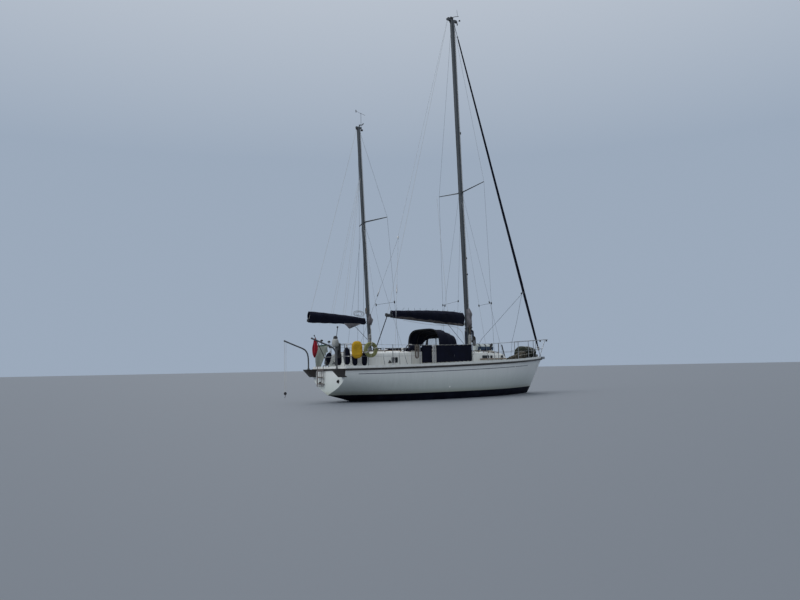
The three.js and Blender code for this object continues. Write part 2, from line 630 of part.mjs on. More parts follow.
function buildHeadsail() {
  const rings = ROLL.map(([z, radius]) => ellipse(forestayX(z), 0, z, radius * 1.05, radius, 12));
  add("furled_genoa", clearOf(loft(rings), made.main_mast, made.pulpit), "navy_canvas");
  const flanges = [[1830, 85], [1845, 30], [1950, 30], [1965, 85], [1975, 85], [2005, 22]];
  const drum = loft(flanges.map(([z, r]) => ellipse(forestayX(z), 0, z, r, r, 12)));
  const link = rod([forestayX(1602), 0, 1602], [forestayX(1850), 0, 1850], 12);
  const plate = join(box(5180, 5560, -42, 42, 1496, 1520), box(5320, 5400, -10, 10, 1515, 1600));
  const jaws = [-48, 40].map((y) => box(5440, 5600, y, y + 8, 1440, 1545));
  const roller = join(jaws, rod([5555, -44, 1480], [5555, 44, 1480], 26));
  add("stemhead_roller", clearOf(join(plate, roller), made.wholeHull, made.toe_rail), "stainless");
  add("furling_drum", clearOf(join(drum, link), made.stemhead_roller, made.furled_genoa, made.pulpit), "stainless");
}

// A boom with its gooseneck, and the stowed sail under its cover. Each cover row is a station with the height
// of the cover's upper edge and its half width there.
const MAIN_BOOM = { x: 960, z: 2890, end: -2900, endZ: 3150, radius: 55 };
const MIZZEN_BOOM = { x: -3825, z: 2840, end: -6210, endZ: 2850, radius: 42 };
const MAIN_COVER = [
  [870, 3355, 120], [300, 3395, 150], [-900, 3395, 135], [-1900, 3355, 95], [-2700, 3330, 55],
];
const MIZZEN_COVER = [[-3880, 3000, 70], [-4500, 3070, 85], [-5500, 3140, 95], [-6180, 3175, 90]];

function coverRing(boom, [x, high, half]) {
  const share = (boom.x - 40 - x) / (boom.x - 40 - boom.end);
  const low = boom.z + (boom.endZ - boom.z) * share + boom.radius + GAP;
  const tall = high - low;
  const port = [[x, half * 0.55, low], [x, half, low + tall * 0.3], [x, half * 0.75, low + tall * 0.75]];
  return [...port, [x, 0, high], ...mirrored([...port].reverse())];
}

function buildBoom(name, { rake }, boom, cover) {
  const { x, z } = boom;
  const bar = rod([x - 40, 0, z], [boom.end, 0, boom.endZ], boom.radius, boom.radius, 12);
  const [low, high] = [-PIN.reach, PIN.reach].map((step) => [x - rake * step, 0, z + step]);
  const fork = rod(low, high, PIN.radius).add(box(x - 90, x, -12, 12, z - 16, z + 16));
  const mast = made[`${name}_mast`];
  add(`${name}_boom`, clearOf(join(bar, fork), mast), "anodised");
  const stowed = loft(cover.map((row) => coverRing(boom, row)));
  add(`${name}_sail_cover`, clearOf(stowed, made[`${name}_boom`], mast), "navy_canvas");
}

const BOSS = 42; // from the wheel's middle plane to the pedestal's boss

function buildHelm() {
  const { x, z, radius, rim } = WHEEL;
  const { sole } = FOOTWELL;
  const turned = [[sole + GAP, 110], [sole + 30, 90], [z - 90, 70], [z + 70, 90], [z + 130, 60]];
  const pedestal = loft(turned.map(([height, r]) => ellipse(x + 130, 0, height, r, r, 12)));
  const boss = rod([x + BOSS + GAP, 0, z], [x + 130, 0, z], 34, 34, 16);
  add("helm_pedestal", pedestal.add(boss), "gelcoat");
  const hoop = Array.from({ length: 18 }, (_, i) => {
    const angle = (2 * Math.PI * i) / 18;
    return Array.from({ length: 6 }, (__, j) => {
      const turn = (2 * Math.PI * j) / 6;
      const out = radius + rim * Math.cos(turn);
      return [x + rim * Math.sin(turn), out * Math.cos(angle), z + out * Math.sin(angle)];
    });
  });
  const spokes = [0, 1, 2, 3, 4].map((i) => {
    const angle = (2 * Math.PI * i) / 5;
    return rod([x, 0, z], [x, radius * Math.cos(angle), z + radius * Math.sin(angle)], 8, 8, 6);
  });
  const hub = rod([x - 20, 0, z], [x + BOSS, 0, z], 30, 22);
  add("steering_wheel", join(loft(hoop, true), spokes, hub), "stainless");
}

function buildStern() {
  const { y, radius } = DAVIT;
  for (const side of [1, -1]) {
    const hand = side > 0 ? "port" : "starboard";
    const arm = tube(DAVIT.arm.map(([x, z]) => [x, side * y, z]), radius);
    add(`davit_${hand}`, clearOf(arm, made.rubbing_strake), "stainless");
  }
  const ladder = join(
    [245, 655].map((at) => pipe([[-5340, at, 1290], [-5480, at, 1290], [-5490, at, 560]], 12)),
    [1130, 880, 650].map((z) => rod([-5486, 245, z], [-5486, 655, z], 11)),
    [245, 655].map((at) => rod([-5490, at, 640], [-5425, at, 640], 9)),
    [245, 655].map((at) => rod([-5490, at, 567], [-5518, at, 567], 9)),
  );
  const held = [made.wholeHull, made.toe_rail, made.rubbing_strake, made.pushpit];
  add("boarding_ladder", clearOf(ladder, ...held), "stainless");
  const folded = join(
    [285, 615].map((at) => rod([-5530, at, 575], [-5530, at, 1120], 11)),
    [640, 870, 1095].map((z) => rod([-5530, 285, z], [-5530, 615, z], 11)),
    rod([-5530, 285, 575], [-5530, 615, 575], 11),
    [[285, 254.3], [615, 645.7]].map(([at, end]) => (
      rod([-5530, at, 567], [-5502, at, 567], 9).add(rod([-5510, at, 567], [-5510, end, 567], 6))
    )),
  );
  add("ladder_lower_section", folded, "stainless");
}

// The davit's lifting tackle hangs in two parts from the port arm's tip to its block.
const FALL = { x: -6580, y: 1000, top: 2160, foot: 345, rope: 10, sheave: 30 };

function buildFall() {
  const { x, y, top, foot, rope, sheave } = FALL;
  const turn = [0, 1, 2, 3, 4].map((i) => {
    const angle = Math.PI * (1 + i / 4);
    return [x + sheave * Math.cos(angle), y, foot + sheave * Math.sin(angle)];
  });
  const line = pipe([[x - sheave, y, top], ...turn, [x + sheave, y, top]], rope / 2);
  add("davit_fall", clearOf(line, made.davit_port), "white_line");
  const hook = pipe([[x, y, foot - 60], [x, y, foot - 120], [x - 25, y, foot - 150]], 8);
  const cheeks = rod([x, y - 15, foot], [x, y + 15, foot], 52, 52, 12);
  const slot = rod([x, y - 7, foot], [x, y + 7, foot], 53, 53, 12);
  const pulley = rod([x, y - 8, foot], [x, y + 8, foot], 24, 24, 12);
  const block = join(cheeks, hook).subtract(slot).add(pulley);
  const bridge = rod([x, y, foot - 46], [x, y, foot - 62], 15, 12);
  add("davit_block", clearOf(block.add(bridge), made.davit_fall), "dark_wood");
}

// The starboard quarter rail in plan: its distance from the centreline, and its direction.
const QUARTER = { x0: -5200, y0: 1100, x1: RAIL_ENDS.aft, y1: halfAt(RAIL_ENDS.aft) - 70 };

function quarterRail(x) {
  return QUARTER.y0 + ((x - QUARTER.x0) * (QUARTER.y1 - QUARTER.y0)) / (QUARTER.x1 - QUARTER.x0);
}

// Fenders hang from one line, lashed inside the pushpit's top rail and the starboard quarter rail.
const FENDER_LINE = 1972;
const FENDERS = [
  { x: -5232, y: 353, foot: 1300, head: 1730 },
  { x: -5232, y: -427, foot: 1285, head: 1810 },
  { x: -5215, y: -930, foot: 1305, head: 1900 },
  { x: -4975, y: 98.6 - quarterRail(-4975), foot: 1265, head: 1780 },
  { x: -4650, y: 98.6 - quarterRail(-4650), foot: 1260, head: 1760 },
];

function buildQuarterGear() {
  const shape = [[0, 30], [0.08, 75], [0.2, 84], [0.75, 84], [0.9, 62], [1, 20]];
  const bodies = FENDERS.map(({ x, y, foot, head }) => join(
    loft(shape.map(([share, r]) => ellipse(x, y, foot + share * (head - foot), r, r, 10))),
    rod([x, y, head - 10], [x, y, FENDER_LINE], 9),
  ));
  const line = pipe(FENDERS.map(({ x, y }) => [x, y, FENDER_LINE]), 9);
  add("fenders", join(bodies, line), "navy_canvas");
  const angle = -Math.atan2(QUARTER.y1 - QUARTER.y0, QUARTER.x1 - QUARTER.x0);
  // A point beside the rail: along it from a station, out from its middle line, and up.
  const beside = (x, along, out, z) => [
    x + along * Math.cos(angle) + out * Math.sin(angle),
    -quarterRail(x) + along * Math.sin(angle) - out * Math.cos(angle),
    z,
  ];
  const outline = Array.from({ length: 16 }, (_, i) => {
    const turn = (2 * Math.PI * i) / 16;
    return [Math.cos(turn), Math.sin(turn)].map((value) => Math.sign(value) * Math.abs(value) ** 0.7);
  });
  const face = (out) => outline.map(([u, v]) => beside(-4980, 190 * u, out, 1805 + 295 * v));
  const cover = loft([face(13 + GAP), face(123)]);
  add("lifebuoy", cover, "yellow_cloth");
  const coil = Array.from({ length: 18 }, (_, i) => {
    const round = (2 * Math.PI * i) / 18;
    return Array.from({ length: 8 }, (__, j) => {
      const turn = (2 * Math.PI * j) / 8;
      const reach = 205 + 86 * Math.cos(turn);
      return [-4520 + reach * Math.cos(round), -1354 + 62 * Math.sin(turn), 1800 + reach * Math.sin(round)];
    });
  });
  add("rope_coil", clearOf(loft(coil, true), made.guardrail_starboard, made.pushpit), "green_rope");
}

function buildDeckGear() {
  const drum = rod([1520, 0, 1945], [2390, 0, 1925], 150, 150, 14);
  const cradle = [1650, 2270].map((x) => box(x - 20, x + 20, -150, 150, 1660, 1900));
  add("deck_canister", clearOf(join(drum, cradle), trunk(FORWARD_TRUNK)), "pale_canvas");
  const heap = [[3900, 190, 1960], [4150, 260, 2010], [4500, 230, 1960], [4800, 150, 1760], [4950, 60, 1640]];
  const rings = heap.map(([x, half, top]) => {
    const low = deckAt(x) - 4;
    const port = [[x, half, low], [x, half, low + (top - low) * 0.6], [x, half * 0.7, top - 20]];
    return [...port, [x, 0, top], ...mirrored([...port].reverse())];
  });
  add("sail_bag", clearOf(loft(rings), made.wholeHull, made.fore_hatch), "olive_canvas");
  const staff = rod([-5360, 0, 1180], [-5960, 0, 2330], 13);
  const folds = [[1620, 28], [1700, 62], [2000, 74], [2170, 40]];
  const cloth = loft(folds.map(([z, r]) => ellipse(-5565 - (z - 1620) * 0.53, 0, z, r, r * 0.8, 10)));
  const held = [made.wholeHull, made.pushpit, made.toe_rail, made.rubbing_strake];
  add("ensign", clearOf(join(staff, cloth), ...held), "red_cloth");
}

buildHull();
buildUnderwater();
buildPropeller();
buildRudder();
buildCabins();
buildHatches();
buildHood();
buildRails();
buildMasts();
buildStays();
buildHeadsail();
buildBoom("main", MAIN, MAIN_BOOM, MAIN_COVER);
buildBoom("mizzen", MIZZEN, MIZZEN_BOOM, MIZZEN_COVER);
buildHelm();
buildStern();
buildFall();
buildQuarterGear();
buildDeckGear();

export default yacht;
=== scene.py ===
"""A centre-cockpit ketch lying afloat with her sails stowed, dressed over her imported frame."""
import random
from math import atan2, copysign, cos, degrees, pi, radians, sin

import bpy
from mathutils import Matrix, Vector
from mathutils.bvhtree import BVHTree


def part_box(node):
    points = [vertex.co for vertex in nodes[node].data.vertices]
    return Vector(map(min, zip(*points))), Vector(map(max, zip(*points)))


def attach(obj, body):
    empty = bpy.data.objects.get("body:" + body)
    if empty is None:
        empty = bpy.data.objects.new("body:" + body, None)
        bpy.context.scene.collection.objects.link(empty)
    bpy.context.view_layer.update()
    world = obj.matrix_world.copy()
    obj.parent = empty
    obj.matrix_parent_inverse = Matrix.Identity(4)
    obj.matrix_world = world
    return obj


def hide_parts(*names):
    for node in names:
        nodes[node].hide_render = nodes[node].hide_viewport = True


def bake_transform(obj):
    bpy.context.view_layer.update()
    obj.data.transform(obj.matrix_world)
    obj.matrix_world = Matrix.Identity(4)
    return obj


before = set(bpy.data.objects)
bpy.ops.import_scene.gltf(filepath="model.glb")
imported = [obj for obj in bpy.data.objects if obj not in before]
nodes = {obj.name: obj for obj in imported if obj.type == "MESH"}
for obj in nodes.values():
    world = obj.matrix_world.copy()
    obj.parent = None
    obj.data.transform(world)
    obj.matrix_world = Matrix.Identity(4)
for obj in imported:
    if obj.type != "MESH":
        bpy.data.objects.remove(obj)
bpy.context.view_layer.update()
random.seed(7)


# The camera stands low over the water off the starboard quarter, about 27 m away. Its height, distance and
# lens come from the photograph's horizon and from the places of the hull's ends, mast heads and spreaders.
heading = radians(35.953)
pitch = radians(5.81)
roll = radians(1.092)
bpy.ops.object.camera_add(location=(-17.234, -20.640, 1.143), rotation=(pi / 2 + pitch, 0, -heading))
camera = bpy.context.object
camera.rotation_euler = (camera.rotation_euler.to_matrix() @ Matrix.Rotation(-roll, 3, "Z")).to_euler()
camera.data.sensor_width = 36
camera.data.lens = 30.28
camera.data.clip_end = 2000
bpy.context.scene.camera = camera


# The stage is a plain grey floor at the waterline, under a pale sky that is brighter overhead. A soft key
# light comes from port astern, with a weak fill from the port bow and a weak beam from the starboard quarter.
def plain(name, colour, roughness):
    material = bpy.data.materials.new(name)
    material.use_nodes = True
    shader = material.node_tree.nodes["Principled BSDF"]
    shader.inputs["Base Color"].default_value = (*colour, 1)
    shader.inputs["Roughness"].default_value = roughness
    return material


bpy.ops.mesh.primitive_plane_add(size=1600, location=(0, 0, 0))
floor = bpy.context.object
floor.name = "floor"
floor.data.materials.append(plain("grey floor", (0.17, 0.189, 0.215), 0.7))

world = bpy.data.worlds.new("studio")
bpy.context.scene.world = world
world.use_nodes = True
sky = world.node_tree
height = sky.nodes.new("ShaderNodeSeparateXYZ")
sky.links.new(sky.nodes.new("ShaderNodeTexCoord").outputs["Generated"], height.inputs["Vector"])
cloud = sky.nodes.new("ShaderNodeValToRGB")
sky.links.new(height.outputs["Z"], cloud.inputs["Fac"])
cloud.color_ramp.elements[0].position = 0.30
cloud.color_ramp.elements[0].color = (0.33, 0.40, 0.50, 1)
cloud.color_ramp.elements[1].position = 0.95
cloud.color_ramp.elements[1].color = (0.80, 0.82, 0.85, 1)
sky.links.new(cloud.outputs["Color"], sky.nodes["Background"].inputs["Color"])
bpy.context.scene.view_settings.view_transform = "Standard"
for name, power, angles in (("key", 1.15, (52, 0, -104)), ("fill", 0.35, (50, 0, 150)),
    ("beam", 0.22, (72, 0, -32))):
    bpy.ops.object.light_add(type="SUN", rotation=[radians(angle) for angle in angles])
    lamp = bpy.context.object
    lamp.name = name
    lamp.data.energy = power
    lamp.data.angle = radians(35)


# The hull is a moulding of glass fibre in white gelcoat, dulled by weather, with rust-brown scum over the
# boot top, dark bottom paint below it and a thin blue-grey cove line under the sheer. Painted shade darkens
# the topsides further towards the water.
def choose(*pieces):
    """Leaves only these pieces selected, with the last one active."""
    bpy.ops.object.select_all(action="DESELECT")
    for piece in pieces:
        piece.select_set(True)
    bpy.context.view_layer.objects.active = pieces[-1]


def clone(name, source):
    """A copy of a CAD node as a new piece, with its double points merged."""
    piece = bpy.data.objects.new(name, nodes[source].data.copy())
    bpy.context.collection.objects.link(piece)
    choose(piece)
    piece.data.materials.clear()
    bpy.ops.mesh.customdata_custom_splitnormals_clear()
    bpy.ops.object.mode_set(mode="EDIT")
    bpy.ops.mesh.select_all(action="SELECT")
    bpy.ops.mesh.remove_doubles(threshold=0.00002)
    bpy.ops.object.mode_set(mode="OBJECT")
    return piece


def smooth(piece, degrees=35):
    choose(piece)
    bpy.ops.object.shade_smooth_by_angle(angle=radians(degrees))
    return piece


def modify(piece, kind, **settings):
    """Adds a modifier, sets it and applies it."""
    choose(piece)
    modifier = piece.modifiers.new(kind, kind)
    for key, value in settings.items():
        setattr(modifier, key, value)
    bpy.ops.object.modifier_apply(modifier=modifier.name)
    return piece


def seat(piece, material, *replaced, body="yacht", slot=None):
    """Gives a finished piece its place, its finish and the body that it moves with."""
    choose(piece)
    bpy.ops.object.transform_apply(location=True, rotation=True, scale=True)
    piece.data.materials.clear()
    piece.data.materials.append(material)
    if replaced:
        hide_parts(*replaced)
    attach(piece, body)
    return piece


def dress(name, source, angle, material, body="yacht"):
    """A CAD node's own shape, merged and smoothed, in its finish."""
    return seat(smooth(clone(name, source), angle), material, source, body=body)


class Finish:
    """A material, with a short way to add and wire its nodes. The slot that it is given is not used."""

    def __init__(self, name, slot, roughness=0.5, metallic=0.0):
        self.material = bpy.data.materials.new(name)
        self.material.use_nodes = True
        self.tree = self.material.node_tree
        self.shader = self.tree.nodes["Principled BSDF"]
        self.shader.inputs["Roughness"].default_value = roughness
        self.shader.inputs["Metallic"].default_value = metallic
        source = self.add("ShaderNodeTexCoord")
        self.coordinates = source.outputs["Object"]
        self.map = source.outputs["UV"]

    def add(self, kind, **sockets):
        """Adds a node. A socket's value is another node's output or a plain value."""
        made = self.tree.nodes.new(kind)
        for key, value in sockets.items():
            socket = made.inputs[int(key[1:]) if key[0] == "_" else key]
            if isinstance(value, bpy.types.NodeSocket):
                self.tree.links.new(value, socket)
            else:
                socket.default_value = value
        return made

    def wire(self, output, name):
        self.tree.links.new(output, self.shader.inputs[name])

    def coat(self, field, dark, light, rough=None, bump=None):
        """Colours it between two levels of a field, and gives it uneven roughness and relief."""
        self.wire(self.ramp(field, dark, light), "Base Color")
        if rough:
            self.uneven(*rough)
        if bump:
            self.relief(*bump)
        return self.material

    def math(self, operation, first, second=0.0):
        made = self.add("ShaderNodeMath", _0=first, _1=second)
        made.operation = operation
        return made.outputs[0]

    def apart(self, vector):
        """The three parts of a vector."""
        return self.add("ShaderNodeSeparateXYZ", Vector=vector).outputs

    def noise(self, scale, stretch=(1, 1, 1), detail=4.0):
        place = self.add("ShaderNodeMapping", Vector=self.coordinates, Scale=stretch).outputs[0]
        return self.add("ShaderNodeTexNoise", Vector=place, Scale=scale, Detail=detail).outputs["Fac"]

    def bands(self, vector, scale, direction="X"):
        made = self.add("ShaderNodeTexWave", Vector=vector, Scale=scale)
        made.bands_direction = direction
        return made.outputs["Fac"]

    def ramp(self, value, *stops):
        """A colour ramp. Each stop is its place and its colour."""
        made = self.add("ShaderNodeValToRGB", Fac=value)
        elements = made.color_ramp.elements
        while len(elements) < len(stops):
            elements.new(0.5)
        for element, (place, colour) in zip(elements, stops):
            element.position = place
            element.color = (*colour, 1)
        return made.outputs["Color"]

    def mix(self, share, first, second, blend="MIX"):
        made = self.add("ShaderNodeMix")
        made.data_type = "RGBA"
        made.blend_type = blend
        for socket, value in zip((made.inputs[0], made.inputs[6], made.inputs[7]), (share, first, second)):
            if isinstance(value, bpy.types.NodeSocket):
                self.tree.links.new(value, socket)
            elif hasattr(value, "__len__"):
                socket.default_value = (*value, 1)
            else:
                socket.default_value = value
        return made.outputs[2]

    def relief(self, height, strength, distance=0.001):
        made = self.add("ShaderNodeBump", Height=height, Strength=strength, Distance=distance)
        self.wire(made.outputs[0], "Normal")

    def uneven(self, low, high, scale):
        """Roughness that varies in patches."""
        spread = self.math("MULTIPLY", self.noise(scale), high - low)
        self.wire(self.math("ADD", spread, low), "Roughness")


def shade(colour, share):
    return [value * share for value in colour]


def patchy(name, slot, colour, roughness, metallic=0.0, spread=0.12, patch=3.0, grain=300.0, depth=0.15):
    """A finish of one colour in slightly uneven patches, with a fine grain."""
    made = Finish(name, slot, roughness, metallic)
    light = [min(1, value) for value in shade(colour, 1 + spread)]
    rough = (roughness * 0.85, min(1, roughness * 1.2), patch * 2)
    grains = (made.noise(grain, detail=2.0), depth)
    return made.coat(made.noise(patch), (0.35, shade(colour, 1 - spread)), (0.65, light), rough, grains)


SHEER = {"aft": 1.17, "rise": 0.30, "curve": 1.7}


def hull_finish():
    made = Finish("hull gelcoat", "gelcoat", 0.3)
    place = made.apart(made.coordinates)
    along = made.math("DIVIDE", made.math("ADD", place["X"], 5.4), 10.8)
    rise = made.math("MULTIPLY", made.math("POWER", along, SHEER["curve"]), SHEER["rise"])
    under = made.math("SUBTRACT", made.math("ADD", rise, SHEER["aft"]), place["Z"])
    cove = made.math("COMPARE", made.math("SUBTRACT", under, made.math("MULTIPLY", along, 0.04)), 0.182)
    cove.node.inputs[2].default_value = 0.011
    length = made.math("COMPARE", place["X"], -0.7)
    length.node.inputs[2].default_value = 4.25
    cove = made.math("MULTIPLY", cove, length)
    bottom = made.math("LESS_THAN", place["Z"], made.math("ADD", made.math("MULTIPLY", along, 0.03), 0.255))
    streaks = made.noise(5.0, (1.6, 1.6, 0.22))
    white = made.ramp(streaks, (0.3, (0.655, 0.672, 0.655)), (0.7, (0.69, 0.705, 0.69)))
    # Painted shade: this ramp on height darkens the topsides from the sheer down to the waterline, over the
    # real scum at the boot top.
    scum_and_painted_shade = made.ramp(place["Z"], (0.26, (0.52, 0.54, 0.46)), (0.42, (0.76, 0.80, 0.77)),
        (0.85, (0.94, 0.96, 0.95)), (1.2, (1, 1, 1)))
    paint = made.ramp(made.noise(2.5), (0.35, (0.0035, 0.004, 0.010)), (0.7, (0.010, 0.012, 0.022)))
    topsides = made.mix(cove, made.mix(1.0, white, scum_and_painted_shade, "MULTIPLY"), (0.06, 0.075, 0.10))
    made.wire(made.mix(bottom, topsides, paint), "Base Color")
    dull = made.math("MULTIPLY", bottom, 0.45)
    made.wire(made.math("ADD", dull, 0.33), "Roughness")
    made.wire(made.math("SUBTRACT", 0.45, made.math("MULTIPLY", bottom, 0.38)), "Specular IOR Level")
    made.relief(made.noise(3.0, detail=1.0), 0.25, 0.004)
    return made.material


dress("hull_moulding", "hull", 28, hull_finish())


# Skin fittings: drains and outlets through the starboard topsides, a drain in the transom and the engine's
# exhaust beside it. Each is a turned flange of white plastic or bronze round a dark pipe.
def turned(name, foot, axis, profile, sides=16):
    """A piece turned on a lathe. A profile row is a distance along the axis and the radius there."""
    start, radius = profile[0]
    bpy.ops.mesh.primitive_circle_add(vertices=sides, radius=radius, fill_type="NGON", location=(0, 0, start))
    piece = bpy.context.object
    piece.name = name
    choose(piece)
    bpy.ops.object.transform_apply(location=True)
    bpy.ops.object.mode_set(mode="EDIT")
    bpy.ops.mesh.select_all(action="SELECT")
    for (low, before), (high, after) in zip(profile, profile[1:]):
        bpy.ops.mesh.extrude_region_move(TRANSFORM_OT_translate={"value": (0, 0, high - low)})
        bpy.ops.transform.resize(value=(after / before, after / before, 1), center_override=(0, 0, high))
    bpy.ops.mesh.select_all(action="SELECT")
    bpy.ops.mesh.normals_make_consistent(inside=False)
    bpy.ops.object.mode_set(mode="OBJECT")
    piece.rotation_euler = Vector(axis).to_track_quat("Z", "Y").to_euler()
    piece.location = foot
    bpy.ops.object.transform_apply(location=True, rotation=True)
    return smooth(piece, 40)


def joined(name, pieces):
    choose(*pieces)
    if len(pieces) > 1:
        bpy.ops.object.join()
    bpy.context.object.name = name
    return bpy.context.object


def both_sides(piece):
    """Adds the piece's mirror image on the other side of the centreline."""
    return modify(piece, "MIRROR", use_axis=(False, True, False), use_mirror_merge=False)


def fit(name, parts, material, pair=False, **place):
    """Joins parts into one piece, with its mirror image where it is one of a pair, and seats it."""
    piece = joined(name, parts)
    return seat(both_sides(piece) if pair else piece, material, **place)


trees = {}


def surface(source, origin, direction):
    """Where a straight line first meets a CAD node, and the node's normal there."""
    if source not in trees:
        shape = nodes[source].data
        corners = [vertex.co.copy() for vertex in shape.vertices]
        trees[source] = BVHTree.FromPolygons(corners, [tuple(face.vertices) for face in shape.polygons])
    place, normal, _, _ = trees[source].ray_cast(Vector(origin), Vector(direction).normalized())
    return place, normal


white_plastic = patchy("white plastic", "gelcoat", (0.72, 0.72, 0.68), 0.4)
dark_rubber = patchy("dark rubber", "black_plastic", (0.02, 0.02, 0.022), 0.7)
fittings = []
for x, z, radius in ((-2.075, 0.838, 0.03), (-1.27, 0.45, 0.036), (2.36, 1.118, 0.026)):
    place, normal = surface("hull", (x, -3, z), (0, 1, 0))
    ring = [(-0.004, radius), (0.005, radius), (0.009, radius * 0.85), (0.007, radius * 0.6),
        (0.002, radius * 0.55)]
    fittings.append(turned("fitting", place, normal, ring))
fit("skin_fittings", fittings, white_plastic)
outlets = []
for y, z, radius in ((0.546, 0.683, 0.035), (-0.69, 0.74, 0.045)):
    place, normal = surface("hull", (-6, y, z), (1, 0, 0))
    ring = [(-0.004, radius * 1.5), (0.004, radius * 1.5), (0.012, radius * 1.2), (0.045, radius),
        (0.045, radius * 0.8)]
    outlets.append(turned("outlet", place, normal, [*ring, (0.006, radius * 0.78)]))
fit("transom_outlets", outlets, dark_rubber)


# The deck is the second moulding, white with panels of sand-coloured non-slip cut to its walkways. Grey
# cleats of cast aluminium stand on it, and a track for the headsail's sheet is screwed down along each side.
def sheer(x):
    return SHEER["aft"] + SHEER["rise"] * ((x + 5.4) / 10.8) ** SHEER["curve"]


def half_beam(x):
    return surface("deck", (x, 3, sheer(x) - 0.012), (0, -1, 0))[0].y


def deck_height(x, y):
    return surface("deck", (x, y, 2.5), (0, 0, -1))[0].z


def skin(name, rows, ring=False):
    """A skin through rows of points, with a UV map in metres across and along it."""
    across = len(rows[0])
    spans = across if ring else across - 1
    points = [Vector(point) for row in rows for point in row]
    faces = []
    for i in range(len(rows) - 1):
        for j in range(spans):
            k = (j + 1) % across
            faces.append((i * across + j, i * across + k, (i + 1) * across + k, (i + 1) * across + j))
    shape = bpy.data.meshes.new(name)
    shape.from_pydata(points, [], faces)
    along = [0.0]
    for i in range(1, len(rows)):
        middle = across // 2
        along.append(along[-1] + (Vector(rows[i][middle]) - Vector(rows[i - 1][middle])).length)
    girth = [[0.0] for _ in rows]
    for i, row in enumerate(rows):
        for j in range(spans):
            girth[i].append(girth[i][-1] + (Vector(row[(j + 1) % across]) - Vector(row[j])).length)
    layer = shape.uv_layers.new(name="cloth")
    corner = 0
    for i in range(len(rows) - 1):
        for j in range(spans):
            for row, column in ((i, j), (i, j + 1), (i + 1, j + 1), (i + 1, j)):
                layer.data[corner].uv = (girth[row][column], along[row])
                corner += 1
    piece = bpy.data.objects.new(name, shape)
    bpy.context.collection.objects.link(piece)
    return smooth(piece, 50)


def moulded_white(name, tint=(0.72, 0.735, 0.71), slot="gelcoat"):
    """Gelcoat that rain has streaked and the sun has chalked."""
    made = Finish(name, slot, 0.35)
    streaks = made.noise(6.0, (1.5, 1.5, 0.3))
    dirty = [value * shade for value, shade in zip(tint, (0.91, 0.90, 0.87))]
    base = made.ramp(streaks, (0.30, dirty), (0.58, tint))
    specks = made.ramp(made.noise(60.0, detail=2.0), (0.70, (1, 1, 1)), (0.78, (0.72, 0.69, 0.62)))
    made.wire(made.mix(0.5, base, specks, "MULTIPLY"), "Base Color")
    made.uneven(0.28, 0.55, 4.0)
    made.relief(made.noise(12.0, detail=2.0), 0.2, 0.002)
    return made.material


def grit():
    made = Finish("non-slip panels", "gelcoat", 0.85)
    grid = made.math("MULTIPLY", made.bands(made.coordinates, 22.0, "X"),
        made.bands(made.coordinates, 22.0, "Y"))
    worn, fresh = (0.42, 0.41, 0.37), (0.55, 0.54, 0.49)
    return made.coat(made.noise(2.2), (0.35, worn), (0.7, fresh), bump=(grid, 0.6, 0.002))


deck_white = moulded_white("deck gelcoat")
deck = clone("deck_moulding", "deck")
modify(smooth(deck, 28), "WEIGHTED_NORMAL", keep_sharp=True)
seat(deck, deck_white, "deck")


def sealed(piece):
    """Closes its open ends and turns its faces outwards."""
    choose(piece)
    bpy.ops.object.mode_set(mode="EDIT")
    bpy.ops.mesh.select_all(action="SELECT")
    bpy.ops.mesh.fill_holes(sides=0)
    bpy.ops.mesh.normals_make_consistent(inside=False)
    bpy.ops.object.mode_set(mode="OBJECT")
    return piece


def thick(piece, thickness, offset):
    return modify(piece, "SOLIDIFY", thickness=thickness, offset=offset)


PANEL_LIFT = 0.003


def panel_rows(x0, x1, inner, outer, steps):
    """Rows of points over the deck between two lines, which give the distance from the centreline."""
    rows = []
    for i in range(steps + 1):
        x = x0 + (x1 - x0) * i / steps
        low, high = inner(x), outer(x)
        ys = [low + (high - low) * j / 6 for j in range(7)]
        rows.append([(x, y, deck_height(x, y) + PANEL_LIFT) for y in ys])
    return rows


def walkway(x0, x1, inner, steps):
    panel = skin("walkway", panel_rows(x0, x1, inner, lambda x: half_beam(x) - 0.17, steps))
    return thick(panel, 0.004, 1)


def trunk_side(x):
    return 0.95 - 0.048 * (x + 0.56) - 0.012 * max(0, x - 0.9) ** 2


panels = [
    walkway(-0.5, 0.85, trunk_side, 8),
    walkway(0.92, 2.4, trunk_side, 8),
    walkway(-2.4, -0.62, lambda x: 1.06, 10),
    walkway(-4.5, -2.55, lambda x: 1.08 + (x + 2.5) * 0.055, 10),
]
for low, high in ((0.06, 0.5), (0.52, 0.9)):
    outer = lambda x, high=high: min(high, half_beam(x) - 0.17)
    fore = skin("foredeck", panel_rows(3.62, 4.5 if low < 0.1 else 4.0, lambda x: low, outer, 6))
    panels.append(thick(fore, 0.004, 1))
fit("non_slip_panels", panels, grit(), pair=True)


def bar(name, points, radius, sides=8, closed=False, curved=False):
    """A tube, wire or line along points, with closed ends."""
    bpy.ops.curve.primitive_nurbs_path_add()
    piece = bpy.context.object
    piece.name = name
    path = piece.data
    path.splines.clear()
    spline = path.splines.new("NURBS" if curved else "POLY")
    spline.points.add(len(points) - 1)
    for point, place in zip(spline.points, points):
        point.co = (*place, 1)
    spline.use_cyclic_u = closed
    if curved:
        spline.order_u = 4
        spline.use_endpoint_u = not closed
    path.dimensions = "3D"
    path.bevel_depth = radius
    path.bevel_resolution = max(0, sides // 2 - 2)
    path.resolution_u = 5
    path.use_fill_caps = not closed
    choose(piece)
    bpy.ops.object.convert(target="MESH")
    return smooth(bpy.context.object, 60)


